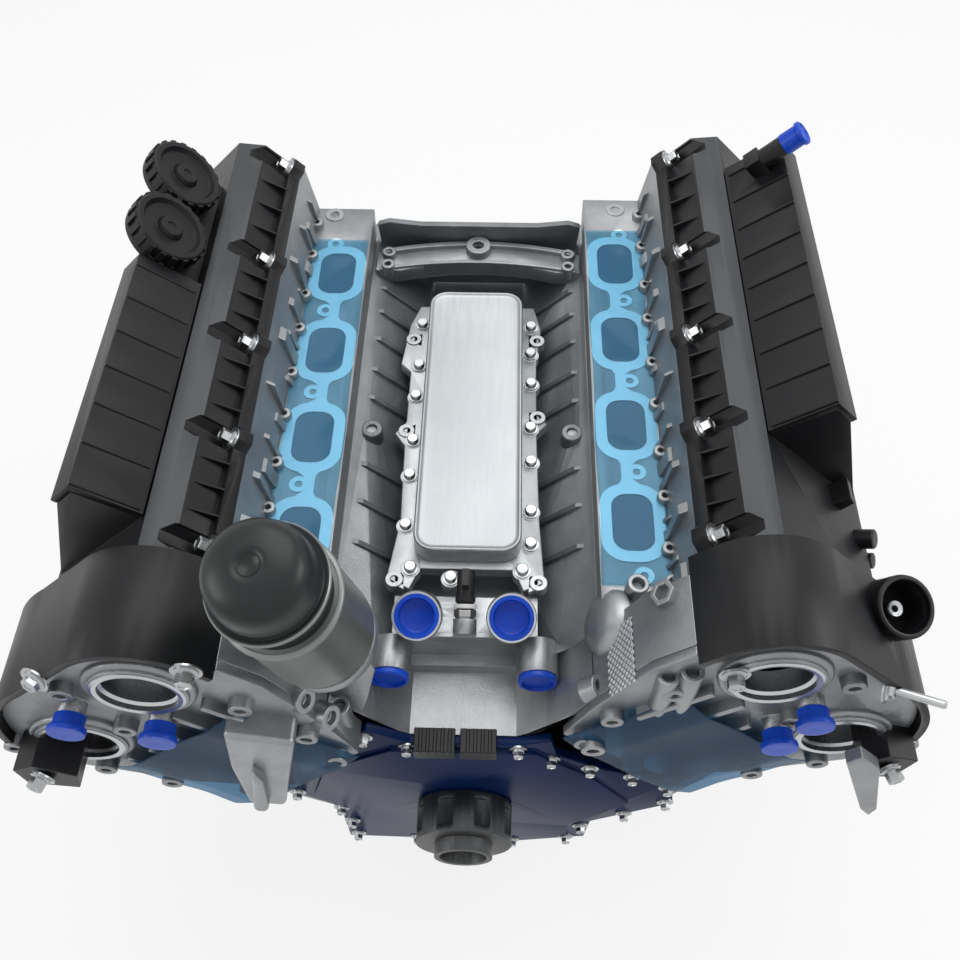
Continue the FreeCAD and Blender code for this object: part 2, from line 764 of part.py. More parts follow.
def timing_chain(name, side):
    """One chain round the crankshaft sprocket and both camshaft sprockets of a bank."""
    spots = [("0", "0", "crank_sprocket"), ("cam_ex_side", "cam_ex_height", "cam_sprocket"),
             ("-cam_in_side", "cam_in_height", "cam_sprocket")]
    walls = []
    start = -number("chain_station - chain_width / 2")
    for grow in ("- chain_height / 2", "+ chain_height / 2"):
        walls.append(chain_loop([(Vector(number(x), start, number(z)), number(radius + grow))
                                 for x, z, radius in spots]))
    face = Part.Face(walls[1]).cut(Part.Face(walls[0]))
    band = face.extrude(Vector(0, -number("chain_width"), 0))
    if side < 0:
        band = band.mirror(Vector(), Vector(1, 0, 0))
    chain = doc.addObject("Part::Feature", "timing_chain_" + name)
    chain.Label = "timing_chain_" + name
    chain.Shape = band.Solids[0]
    chain.Placement = Placement(Vector(0, 0 if side > 0 else -number("bank_stagger"), 0),
                                Rotation(Vector(0, side, 0), number("bank_angle")))
    return chain


def crank_sprocket():
    """The double sprocket that drives both chains."""
    wheel = Piece("crank_sprocket")
    tread = "crank_sprocket - chain_height / 2 - 0.3"
    wheel.pad(wheel.sketch("front", "chain_station - 7").wheel(("0", "0"), tread, 20),
              "bank_stagger + 11")
    wheel.pocket(wheel.sketch("front", "chain_station - 7").circle(
        ("0", "0"), "snout_radius + running_fit"), back=True)
    return wheel.body


def oil_pump():
    """The pump housing round the crankshaft snout, behind the sprockets."""
    pump = Piece("oil_pump")
    start = "block_front + case_wall"
    pump.pad(pump.sketch("front", start).path(
        [("-52", "-20"), ("-52", "-66"), ("52", "-66"), ("52", "-20"), ("36", "24"),
         ("-36", "24")]), "12")
    pump.pocket(pump.sketch("front", start).circle(("0", "0"), "snout_radius + 1"), back=True)
    return pump.body


def piston(name, side, row, phase):
    """A piston at its height for the crank at rest, open below, with a cut-back skirt."""
    angle = "(%d - %d)" % (90 + phase, 45 if side > 0 else 135)
    rise = ("(throw * cos%s + sqrt(rod_length ^ 2 - (throw * sin%s) ^ 2))" % (angle, angle))
    crown = "deck_height - throw - rod_length"
    body = Piece("piston_%s_%d" % (name, row + 1)).bank(side)
    drawing = body.sketch("top", "%s - 22" % rise)
    drawing.circle(("0", "-(first_bore + %d * bore_pitch)" % row), "bore / 2 - running_fit")
    body.pad(drawing, "22 + %s" % crown)
    for edge in ("-", ""):
        away = body.sketch("top", "%s - 23" % rise)
        away.box(("-bore", "-(first_bore + %d * bore_pitch) + %sbore" % (row, edge)),
                 ("bore", "-(first_bore + %d * bore_pitch) + %s26" % (row, edge)))
        body.pocket(away, "23 + 8", back=True)
    inside = body.sketch("top", "%s - 23" % rise)
    inside.box(("-38", "-(first_bore + %d * bore_pitch) - 20" % row),
               ("38", "-(first_bore + %d * bore_pitch) + 20" % row))
    body.pocket(inside, "23 + 20", back=True)
    return body.body


BOXES = {"right": ("62", "372"), "left": ("205", "440")}


def cam_cover(name, side):
    """The plastic cover: rail, gusseted wall, spine, raised box and front dome."""
    cover = Piece("cover_shell_" + name).bank(side)
    low = "rail_height"
    flange = "rail_height + rail_flange"
    outer = [("-rail_inner", low), ("rail_outer", low), ("rail_outer", flange),
             ("rail_outer - 2", flange), ("rail_outer - 2", "372"), ("60", "spine_high + 2"),
             ("-spine_outer", "spine_high"), ("-spine_inner", "spine_low"),
             ("-spine_inner", flange), ("-rail_inner", flange)]
    cover.pad(on_bank(cover.sketch("front", "cover_rear"), side, outer),
              "dome_start - cover_rear")
    towers(cover, name, side)
    wall = "cover_wall"
    inner = [("-spine_inner + %s" % wall, low + " - 1"), ("rail_outer - 2 - %s" % wall, low + " - 1"),
             ("rail_outer - 2 - %s" % wall, "370"), ("56", "spine_high - 4"),
             ("-spine_outer + %s" % wall, "spine_high - 6"),
             ("-spine_inner + %s" % wall, "spine_low - 2")]
    cover.pocket(on_bank(cover.sketch("front", "cover_rear + cover_wall"), side, inner),
                 "dome_start - cover_rear - 2 * cover_wall", back=True)
    dome = [("-well_inner", low), ("well_outer", low), ("well_outer", flange),
            ("20", "dome_top"), ("-cam_in_side", "dome_top"), ("-well_inner", "360")]
    bow = "well_inner - cam_in_side"
    cover.pad(on_bank(cover.sketch("front", "dome_start"), side, dome, {2: "110", 4: bow}),
              "cover_front - dome_start")
    if side > 0:
        cover.pad(neck(cover, "-neck_root", "neck_radius"), "neck_length + neck_root")
    thin = "chain_wall"
    hollow = [("-well_inner + %s" % thin, low + " - 1"), ("well_outer - %s" % thin, low + " - 1"),
              ("well_outer - %s" % thin, flange + " - 2"), ("20", "dome_top - %s" % thin),
              ("-cam_in_side", "dome_top - %s" % thin), ("-well_inner + %s" % thin, "360")]
    cover.pocket(on_bank(cover.sketch("front", "dome_start + cover_wall"), side, hollow,
                         {2: "104", 4: bow + " - chain_wall"}), back=True)
    passage = [("-spine_inner + %s" % wall, low + " - 1"), ("92", low + " - 1"), ("92", "374"),
               ("50", "386"), ("-50", "386"), ("-spine_inner + %s" % wall, "spine_low - 4")]
    cover.pocket(on_bank(cover.sketch("front", "dome_start - cover_wall - 2"), side, passage),
                 "2 * cover_wall + 4", back=True)
    bosses(cover, side)
    if side > 0:
        cover.pocket(neck(cover, "neck_length", "neck_radius - neck_wall"), "neck_length + 9")
        cover.body.Label = "cam_cover_" + name
        return cover.body
    return fused("cam_cover_" + name, [cover.body, valve_deck()])


def towers(cover, name, side):
    """The hollow raised part that the breather box closes."""
    skin = "(box_skin + 0.3)"
    wall = "cover_wall"
    rear, front = BOXES[name]
    raised = [("-spine_outer + %s" % skin, "spine_high - 2"),
              ("-crest_side + %s" % skin, "crest - %s" % skin),
              ("-crest_outer", "crest - %s" % skin), ("60", "spine_high")]
    cover.pad(on_bank(cover.sketch("front", rear), side, raised[::-1]),
              "%s - %s" % (front, rear))
    room = [("-spine_outer + %s + %s" % (skin, wall), "spine_high - 7"),
            ("-crest_side + %s + %s" % (skin, wall), "crest - %s - %s" % (skin, wall)),
            ("-crest_outer - 2", "crest - %s - %s" % (skin, wall)), ("46", "spine_high - 7")]
    cover.pocket(on_bank(cover.sketch("front", rear + " + cover_wall"), side, room[::-1]),
                 "%s - %s - 2 * cover_wall" % (front, rear), back=True)


def valve_deck():
    """The step at the rear of the left-hand cover that carries the pressure valves."""
    deck = Piece("valve_deck").bank(-1)
    deck.pad(deck.sketch("front", "valve_rear").path(
        [("valve_step", "spine_high - 4"), ("valve_step", "valve_deck"), ("34", "valve_deck"),
         ("-20", "spine_high - 4")]), "%s - valve_rear" % BOXES["left"][0])
    return deck.body


NECK_TURN = (0.6055, -0.7958, 0)


def neck(cover, along, radius):
    """A circle across the oil filler, which leans forward and inward on the dome."""
    x, y, z = 0.4610, 0.3510, 0.8150
    shift = ["neck_side - (%s) * %.3f" % (along, x), "-neck_station - (%s) * %.3f" % (along, y),
             "neck_height + (%s) * %.3f" % (along, z)]
    drawing = cover.sketch("top", tilt=(NECK_TURN, "neck_lean"), shift=shift)
    return drawing.circle(("0", "0"), radius)


def pressure_valves():
    """Two round diaphragm housings on the step of the left-hand cover."""
    discs = []
    for count, where in enumerate(("101", "170")):
        disc = Piece("valve_%d" % count).bank(-1)
        disc.pad(disc.sketch("side", "valve_step").circle(
            ("-(%s)" % where, "valve_height"), "valve_radius"), "valve_depth")
        discs.append(disc.body)
    return together("breather_valves", discs)


def bolt_stations():
    """Where the screws of a cam cover stand."""
    rows = ["first_bore + bore_pitch / 2 + %d * bore_pitch" % row for row in CYLINDERS]
    return ["cover_rear + 13"] + rows


def bosses(cover, side):
    """Lugs on the rail, grooves up the wall for the screws, and gussets between them."""
    flange = "rail_height + rail_flange"
    core = [("-spine_inner + 1", "rail_height"), ("-spine_outer - 1", "rail_height"),
            ("-spine_outer - 1", "spine_high - 3"), ("-spine_inner + 1", "spine_low")]
    for where in bolt_stations():
        drawing = on_bank(cover.sketch("front", where + " - 14"), side, core)
        cover.pad(drawing, "28")
    lugs = cover.sketch("top", "rail_height")
    grooves = cover.sketch("top", flange)
    for where in bolt_stations():
        spot = (signed(side, "-cover_bolt"), "-(%s)" % where)
        lugs.wheel(spot, "12.5", 8)
        grooves.wheel(spot, "11", 8)
    cover.pad(lugs, "rail_flange")
    cover.pocket(grooves, "60", back=True)
    stations = bolt_stations()
    for here, after in zip(stations, stations[1:]):
        for share in (0.26, 0.5, 0.74):
            rib = cover.sketch("front", "(%s) + (%s - (%s)) * %s - rib / 2"
                               % (here, after, here, share))
            cover.pad(on_bank(rib, side, [("-rail_inner", flange), ("-spine_inner", flange),
                                          ("-spine_inner", "spine_low - 3")]), "rib")


def breather_box(name, side, ribs):
    """The ribbed lid over the oil separator, on the inward face and crest of a cover."""
    box = Piece("breather_box_" + name).bank(side)
    skin = "box_skin"
    rear, front = BOXES[name]
    outline = [("-spine_outer", "spine_high + 1.3"), ("-crest_side", "crest"),
               ("-crest_outer", "crest"), ("-crest_outer", "crest - %s" % skin),
               ("-crest_side + %s" % skin, "crest - %s" % skin),
               ("-spine_outer + %s" % skin, "spine_high + 1.3")]
    box.pad(on_bank(box.sketch("front", rear), side, outline[::-1]), "%s - %s" % (front, rear))
    proud = [("-spine_outer + 1.5", "spine_high + 5"), ("-spine_outer - 1", "spine_high + 5"),
             ("-crest_side - 1.6", "crest"), ("-crest_side + 1", "crest")]
    for count in range(ribs):
        where = "%s + 12 + (%s - %s - 16) * %d / %d" % (rear, front, rear, count, ribs - 1)
        box.pad(on_bank(box.sketch("front", where), side, proud[::-1]), "rib")
    if side > 0:
        box.pad(on_bank(box.sketch("front", "stub_station - stub_radius"), side,
                        [("-stub_side - stub_radius", "424"), ("-crest_side", "424"),
                         ("-crest_side", "438"), ("-stub_side - stub_radius", "438")]),
                "2 * stub_radius")
        box.pad(box.sketch("top", "437").circle(("-stub_side", "-stub_station"), "stub_radius"),
                "stub_top - 437")
    return box.body


HEAD_STUBS = {"right": (("2", "358"), ("21", "317")), "left": (("15", "377"), ("-19", "324"))}


def timing_cover(name, side):
    """The front plate of a head, with the two round openings in line with the cams."""
    plate = Piece("timing_cover_" + name).bank(side)
    low = "rail_height"
    thin = "(chain_wall + 0.3)"
    outline = [("-case_inner", "deck_height"), ("-60", "174"), ("60", "174"),
               ("case_outer", "deck_height"), ("well_outer", "310"), ("well_outer", low + " - 0.3"),
               ("well_outer - %s" % thin, low + " - 0.3"), ("well_outer - %s" % thin, "346"),
               ("20", "dome_top - %s" % thin), ("-cam_in_side", "dome_top - %s" % thin),
               ("-well_inner + %s" % thin, "360"), ("-well_inner + %s" % thin, low + " - 0.3"),
               ("-well_inner", low + " - 0.3"), ("-well_inner", "300")]
    plate.pad(on_bank(plate.sketch("front", "head_front"), side, outline,
                      {7: "103.7", 9: "well_inner - cam_in_side - %s" % thin}), "8")
    rings = plate.sketch("front", "head_front + 8")
    holes = plate.sketch("front", "head_front")
    for spot in cams(side).values():
        rings.circle(spot, "35")
        holes.circle(spot, "29")
    plate.pad(rings, "7")
    plate.pocket(holes, back=True)
    stubs = plate.sketch("front", "head_front + 6")
    for u, a in HEAD_STUBS[name]:
        stubs.wheel((signed(side, u), a), "head_stub", 12)
    plate.pad(stubs, "stub_length")
    if side < 0:
        foot = [("-case_inner", "deck_height"), ("-60", "174"), ("60", "174"),
                ("case_outer", "deck_height")]
        plate.pad(on_bank(plate.sketch("front", "head_front - bank_stagger"), side, foot),
                  "bank_stagger")
    return plate.body


def front_cover():
    """The lower timing cover, with the seal bore and its stiffened middle."""
    cover = Piece("front_cover")
    outline = [("-154", "92"), ("-77", "165"), ("-43", "139"), ("44", "139"), ("72", "150"),
               ("78", "119"), ("122", "86"), ("183", "58"), ("192", "3"), ("121", "-57"),
               ("118", "-107"), ("46", "-131"), ("-120", "-124"), ("-120", "-30"),
               ("-162", "13")]
    cover.pad(cover.sketch("front", "case_front").path(outline[::-1]), "cover_plate - 4")
    inner = [("-120", "82"), ("-60", "130"), ("60", "130"), ("110", "76"), ("150", "10"),
             ("100", "-60"), ("98", "-98"), ("-100", "-98"), ("-100", "-40"), ("-138", "14")]
    cover.pad(cover.sketch("front", "case_front + cover_plate - 4").path(inner[::-1]), "4")
    cover.pad(cover.sketch("front", "case_front + cover_plate").circle(
        ("0", "0"), "seal_radius + 7"), "2")
    cover.pocket(cover.sketch("front", "case_front").circle(
        ("0", "0"), "seal_radius + running_fit"), back=True)
    return cover.body


def front_seal():
    """The lip seal round the crankshaft hub."""
    ring = Piece("front_seal")
    ring.pad(ring.sketch("front", "case_front + 4").circle(("0", "0"), "seal_radius"), "9")
    ring.pocket(ring.sketch("front", "case_front").circle(
        ("0", "0"), "hub_tube + running_fit"), back=True)
    return ring.body


def crank_hub():
    """The notched hub on the crankshaft snout, hollow at the front."""
    hub = Piece("crank_hub")
    front = "case_front + cover_plate + 2"
    hub.pad(hub.sketch("front", "case_front - 1").circle(("0", "0"), "hub_tube"),
            "cover_plate + 4")
    hub.pad(hub.sketch("front", front).circle(("0", "0"), "hub_radius"), "35")
    hub.pad(hub.sketch("front", front + " + 35").circle(("0", "0"), "nose_radius"), "12")
    hub.pocket(hub.sketch("front", "case_front - 2").circle(
        ("0", "0"), "snout_radius + running_fit"), "snout_length + 1 - case_front + 2", back=True)
    hub.pocket(hub.sketch("front", front + " + 12").circle(("0", "0"), "nose_radius - 5"),
               back=True)
    notches = hub.sketch("front", front + " + 6")
    for lobe in range(8):
        notches.circle(("(hub_radius + 6) * cos(%d)" % (45 * lobe + 22),
                        "(hub_radius + 6) * sin(%d)" % (45 * lobe + 22)), "10")
    hub.pocket(notches, "23", back=True)
    return hub.body


def rear_seal_carrier():
    """The plate that carries the rear crankshaft seal."""
    plate = Piece("rear_seal_carrier")
    plate.pad(plate.sketch("front", "block_rear - 4").path(
        [("-75", "-skirt_depth"), ("75", "-skirt_depth"), ("75", "40"), ("40", "75"), ("-40", "75"),
         ("-75", "40")]), "4")
    plate.pocket(plate.sketch("front", "block_rear - 4").circle(
        ("0", "0"), "flange_radius + 0.5"), back=True)
    return plate.body


def oil_pan():
    """The sump: an upper frame as wide as the crankcase and a narrower tray below it."""
    pan = Piece("oil_pan")
    pan.pad(pan.sketch("top", "-skirt_depth").box(("-skirt_half", "-case_front"),
                                                  ("skirt_half", "-block_rear")),
            "sump_shelf", back=True)
    pan.pad(pan.sketch("top", "-skirt_depth - sump_shelf").box(
        ("-sump_half", "-case_front + 45"), ("sump_half", "-block_rear - 55")),
        "sump_depth - skirt_depth - sump_shelf", back=True)
    wall = "sump_wall"
    pan.pocket(pan.sketch("top", "-skirt_depth").box(
        ("-skirt_half + 2 * %s" % wall, "-case_front + 2 * %s" % wall),
        ("skirt_half - 2 * %s" % wall, "-block_rear - 2 * %s" % wall)), "sump_shelf - %s" % wall)
    pan.pocket(pan.sketch("top", "-skirt_depth - 10").box(
        ("-sump_half + %s" % wall, "-case_front + 45 + %s" % wall),
        ("sump_half - %s" % wall, "-block_rear - 55 - %s" % wall)),
        "sump_depth - skirt_depth - 10 - %s" % wall)
    return pan.body


def oil_pickup():
    """The strainer and its tube, hung from the underside of the crankcase."""
    tube = Piece("oil_pickup").place("skirt_half - 28", "-block_front + 50", "-skirt_depth")
    tube.pad(tube.sketch("top").wheel(("0", "0"), "6.5", 8), "95", back=True)
    tube.pad(tube.sketch("top", "-90").wheel(("0", "0"), "15", 8), "13", back=True)
    return tube.body


def cooler_plate():
    """The cast plate under the oil cooler, with its bolt ears."""
    plate = Piece("cooler_plate")
    outline = [("-66", "-138"), ("-57", "-112"), ("58", "-112"), ("65", "-142"), ("60", "-190"),
               ("60", "-250"), ("70", "-262"), ("60", "-274"), ("62", "-370"), ("66", "-432"),
               ("48", "-440"), ("40", "-420"), ("-40", "-420"), ("-48", "-440"),
               ("-68", "-430"), ("-60", "-372"), ("-62", "-290"), ("-72", "-276"),
               ("-62", "-262"), ("-62", "-200"), ("-72", "-190")]
    plate.pad(plate.sketch("top", "plate_low").path(outline), "plate_top - plate_low")
    return plate.body


def oil_cooler():
    """The stacked-plate cooler that stands on the cast plate."""
    core = Piece("oil_cooler")
    middle = ("0", "-(cooler_rear + cooler_front) / 2")
    layer = "(cooler_top - plate_top) / 3"
    for count in range(3):
        step = "plate_top + %d * %s" % (count, layer)
        core.pad(core.sketch("top", step).rounded(
            middle, "cooler_half * 2 - 3", "cooler_front - cooler_rear - 3", "12", True), layer)
        core.pad(core.sketch("top", step + " + " + layer + " * 0.4").rounded(
            middle, "cooler_half * 2", "cooler_front - cooler_rear", "13", True),
            layer + " * 0.6")
    return core.body


FILTER_SEAT = ("-95", "-541", "310")
FILTER_AXIS = (0.880, -0.476, 0)


def oil_filter():
    """The filter housing, its screw cap and the casting that holds them up."""
    pot = Piece("oil_filter_housing").place(*FILTER_SEAT).turn(FILTER_AXIS, "filter_lean")
    pot.revolve(pot.sketch("front").path(
        [("0", "0"), ("36", "0"), ("39.5", "8"), ("38", "filter_body"), ("0", "filter_body")]))
    cap = Piece("oil_filter_cap").place(*FILTER_SEAT).turn(FILTER_AXIS, "filter_lean")
    top = "filter_body + filter_cap"
    cap.revolve(cap.sketch("front").path(
        [("0", "filter_body"), ("34", "filter_body"), ("34", "filter_body + 21"),
         ("37.5", "filter_body + 25"), ("31", top + " - 7"), ("10", top), ("0", top)]))
    seat = Piece("filter_seat").place(*FILTER_SEAT).turn(FILTER_AXIS, "filter_lean")
    seat.pad(seat.sketch("top", "-12").circle(("0", "0"), "38"), "12")
    column = Piece("filter_column")
    column.pad(column.sketch("front", "block_front + bank_stagger + 3").path(
        [("-79.64", "180"), ("-98.18", "215"), ("-104", "238"), ("-120", "292"),
         ("-120", "300"), ("-68", "300"), ("-62", "262"), ("-72", "210")]),
        "case_front - block_front - bank_stagger - 3")
    return [pot.body, cap.body, fused("oil_filter_bracket", [seat.body, column.body])]


def coolant_outlet():
    """The casting at the front of the valley with two branches that lean forward."""
    floor = above("deck_height - (%s - valley_floor) / cos(bank_angle)"
                  % across("deck_height", "-deck_inner"), "-deck_inner")
    foot = Piece("outlet_foot")
    foot.pad(foot.sketch("front", "outlet_rear").path(
        [("-valley_floor + 1", floor), ("-60", "outlet_top"), ("60", "outlet_top"),
         ("valley_floor - 1", floor)][::-1]), "outlet_front - outlet_rear")
    branches = []
    for name, side in SIDES.items():
        branch = Piece("outlet_" + name).place(*outlet_seat(side)).turn((1, 0, 0), "outlet_lean")
        branch.pad(branch.sketch("top", "-12").circle(("0", "0"), "outlet_radius"),
                   "outlet_reach + 12")
        branches.append(branch.body)
    boss = Piece("sensor_boss").place(*SENSOR_SEAT).turn((1, 0, 0), "-sensor_lean")
    boss.pad(boss.sketch("top").wheel(("0", "0"), "sensor_radius + 2.5", 12), "sensor_boss")
    return fused("coolant_outlet", [foot.body, boss.body] + branches)


def outlet_seat(side):
    """Where the middle line of an outlet branch meets the top of its casting."""
    return signed(side, "outlet_side"), "-outlet_station", "outlet_top"


def transit_caps():
    """The plastic caps on the open branches and stubs, with flat sides for the fingers."""
    caps = []
    forward = ((1, 0, 0), "90")
    for name, side in SIDES.items():
        caps.append(cap("outlet_" + name, outlet_seat(side), ((1, 0, 0), "outlet_lean"),
                        "outlet_radius", "outlet_reach", "12"))
        port = (signed(side, "port_side"), "-port_end", "port_height")
        caps.append(cap("port_" + name, port, forward, "port_radius - 1", "0", "5"))
        reach = "-(head_front + 6 + stub_length%s)" % ("" if side > 0 else " + bank_stagger")
        for count, (u, a) in enumerate(HEAD_STUBS[name]):
            stub = (signed(side, across(a, u)), reach, above(a, u))
            caps.append(cap("stub_%s_%d" % (name, count), stub, forward, "head_stub + 4", "0",
                            "cap_length"))
    pipe = (across("stub_top", "-stub_side"), "-stub_station", above("stub_top", "-stub_side"))
    caps.append(cap("pipe", pipe, ((0, 1, 0), "bank_angle"), "stub_radius + 2", "0", "20"))
    return together("transit_caps", caps)


def cap(name, seat, turn, radius, foot, tall):
    """One cap on a seat, its axis turned from the vertical."""
    piece = Piece("cap_" + name).place(*seat).turn(*turn)
    piece.pad(piece.sketch("top", foot).wheel(("0", "0"), radius, 12), tall)
    return piece.body


def valley_sensor():
    """The temperature sensor between the coolant outlets."""
    sensor = Piece("valley_sensor").place(*SENSOR_SEAT).turn((1, 0, 0), "-sensor_lean")
    sensor.pad(sensor.sketch("top", "sensor_boss").wheel(("0", "0"), "sensor_radius", 12),
               "sensor_length")
    return sensor.body


SENSOR_SEAT = ("0", "-outlet_front + 2", "outlet_top + 2")


def chain_guides(name, side):
    """The two rails that a chain runs along, fixed to the rear wall of the chain case."""
    rails = []
    back = "block_front + case_wall" + ("" if side > 0 else " - bank_stagger")
    for count, outline in enumerate(GUIDES):
        rail = Piece("guide_%s_%d" % (name, count)).bank(side)
        rail.pad(on_bank(rail.sketch("front", back), side, outline),
                 "chain_station + chain_width / 2 - (%s)" % back)
        rails.append(rail.body)
    return together("chain_guides_" + name, rails)


GUIDES = (
    (("49.3", "79.8"), ("75.8", "176.2"), ("82.5", "174.4"), ("56.0", "77.9")),
    (("-37.5", "53.7"), ("-52.7", "130.2"), ("-57.6", "129.3"), ("-42.5", "52.8")))


def main():
    """Build every node in turn."""
    fill_sheet()
    nodes = [engine_block(), main_bearing_caps(), crankshaft(), crank_sprocket(), crank_hub(),
             oil_pump(), front_cover(), front_seal(), rear_seal_carrier(), oil_pan(),
             oil_pickup(), cooler_plate(), oil_cooler()]
    nodes += oil_filter()
    phases = (0, 90, 270, 180)
    for name, side in SIDES.items():
        nodes += [cylinder_head(name, side), head_gasket(name, side), cam_caps(name, side),
                  intake_gasket(name, side), port_film(name, side), cam_cover(name, side),
                  timing_cover(name, side), timing_chain(name, side), chain_guides(name, side)]
        for kind in ("intake", "exhaust"):
            nodes.append(camshaft(kind, name, side, (20, 110, 290, 200)))
            nodes.append(cam_phaser(kind, name, side))
        for row, phase in zip(CYLINDERS, phases):
            nodes.append(piston(name, side, row, phase))
    nodes += [breather_box("right", 1, 9), breather_box("left", -1, 7), pressure_valves(),
              coolant_outlet(), transit_caps(), valley_sensor()]
    finish(nodes)


main()
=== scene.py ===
"""The looks of a complete V8 engine, put together in the order of its assembly.

Sizes are in mm and become metres by MM where they reach Blender. X goes to the right as seen
from the front of the engine, Y to its rear and Z up. Side is 1 on the right and -1 on the left.
"""

import json

import bmesh
import bpy
import numpy as np
from mathutils import Matrix, Vector

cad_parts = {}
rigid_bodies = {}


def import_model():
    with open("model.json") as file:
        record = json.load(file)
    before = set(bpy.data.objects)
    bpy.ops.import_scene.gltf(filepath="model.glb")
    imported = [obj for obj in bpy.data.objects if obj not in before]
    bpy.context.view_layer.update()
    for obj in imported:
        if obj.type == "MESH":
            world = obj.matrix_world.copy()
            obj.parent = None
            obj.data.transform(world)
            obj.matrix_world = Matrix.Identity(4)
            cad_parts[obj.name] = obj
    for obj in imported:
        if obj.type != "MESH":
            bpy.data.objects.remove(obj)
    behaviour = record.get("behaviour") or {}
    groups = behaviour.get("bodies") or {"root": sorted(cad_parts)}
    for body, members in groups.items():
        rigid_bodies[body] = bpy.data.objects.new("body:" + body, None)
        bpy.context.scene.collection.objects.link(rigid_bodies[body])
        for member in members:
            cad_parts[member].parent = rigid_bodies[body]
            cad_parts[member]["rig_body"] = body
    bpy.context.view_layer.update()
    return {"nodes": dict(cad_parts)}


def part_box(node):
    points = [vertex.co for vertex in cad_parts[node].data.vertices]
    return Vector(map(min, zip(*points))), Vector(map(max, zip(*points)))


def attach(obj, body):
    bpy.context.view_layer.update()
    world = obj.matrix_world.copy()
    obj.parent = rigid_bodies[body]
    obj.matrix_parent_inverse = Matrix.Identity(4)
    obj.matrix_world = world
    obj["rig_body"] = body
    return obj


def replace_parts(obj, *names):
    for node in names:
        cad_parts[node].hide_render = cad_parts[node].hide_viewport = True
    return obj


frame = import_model()

# The stand for the picture: a pale floor under the sump, a white surround, one wide soft
# lamp overhead and two at the sides, and the camera above the front of the engine.
MM = 0.001
CAMERA_PLACE = (0.0257, -0.8608, 0.9552)
CAMERA_LENS, SENSOR_WIDTH = 38.69, 36.0
PITCH, ROLL, YAW = np.radians((-54.92, 0.40, 1.82))
LAMPS = (("lamp_over", (0.1, 0.5, 2.2), 1.8, 24),
         ("lamp_left", (-1.9, -0.9, 1.2), 1.0, 12),
         ("lamp_right", (1.9, -0.3, 1.3), 1.0, 14))
LAMP_TARGET = Vector((0, -0.3, 0.2))
FLOOR_HALF = 9


def linear(text):
    """An sRGB hex colour as linear light: each share to the power 2.4 above the toe."""
    shares = np.array([int(text[place:place + 2], 16) for place in (1, 3, 5)]) / 255
    light = np.where(shares > 0.04045, ((shares + 0.055) / 1.055) ** 2.4, shares / 12.92)
    return (*light.tolist(), 1.0)


def add(tree, kind, sockets=None, **settings):
    """Adds one node, gives its settings, and fills its sockets with values or links."""
    made = tree.nodes.new("ShaderNode" + kind)
    for name, value in settings.items():
        setattr(made, name, value)
    for name, value in (sockets or {}).items():
        if isinstance(value, bpy.types.NodeSocket):
            tree.links.new(value, made.inputs[name])
        else:
            made.inputs[name].default_value = value
    return made


def start_finish(name):
    """A new material with its output and nothing else, as (material, tree, output)."""
    made = bpy.data.materials.new(name)
    made.use_nodes = True
    made.node_tree.nodes.clear()
    return made, made.node_tree, add(made.node_tree, "OutputMaterial")


camera = bpy.data.objects.new("camera", bpy.data.cameras.new("camera"))
camera.data.lens = CAMERA_LENS
camera.data.sensor_width = SENSOR_WIDTH
turned = (Matrix.Rotation(YAW, 3, "Z") @ Matrix.Rotation(PITCH, 3, "X")
          @ Matrix.Rotation(ROLL, 3, "Y"))
axes = Matrix((turned.col[0], turned.col[2], -turned.col[1])).transposed()
camera.matrix_world = Matrix.Translation(CAMERA_PLACE) @ axes.to_4x4()
bpy.context.scene.collection.objects.link(camera)
bpy.context.scene.camera = camera
bpy.context.scene.view_settings.view_transform = "Standard"

for name, place, size, power in LAMPS:
    lamp = bpy.data.objects.new(name, bpy.data.lights.new(name, "AREA"))
    lamp.data.size = size
    lamp.data.energy = power
    facing = (LAMP_TARGET - Vector(place)).to_track_quat("-Z", "Y").to_matrix()
    lamp.matrix_world = Matrix.Translation(place) @ facing.to_4x4()
    bpy.context.scene.collection.objects.link(lamp)


def seen_rays(tree):
    """One for rays from the camera, through film and off gloss, nought for diffuse light."""
    rays = add(tree, "LightPath")
    direct = add(tree, "Math", {0: rays.outputs["Is Camera Ray"],
                                1: rays.outputs["Is Transmission Ray"]}, operation="MAXIMUM")
    return add(tree, "Math", {0: direct.outputs[0], 1: rays.outputs["Is Glossy Ray"]},
               operation="MAXIMUM").outputs[0]


# The surround lights the engine softly, and is plain white where it is seen or mirrored.
world = bpy.data.worlds.new("surround")
world.use_nodes = True
tree = world.node_tree
tree.nodes.clear()
soft_light = add(tree, "Background", {"Color": linear("#eef2f6"), "Strength": 0.5})
white = add(tree, "Background", {"Color": linear("#ffffff"), "Strength": 1.0})
shown = add(tree, "MixShader", {0: seen_rays(tree), 1: soft_light.outputs[0],
                                2: white.outputs[0]})
add(tree, "OutputWorld", {"Surface": shown.outputs[0]})
bpy.context.scene.world = world

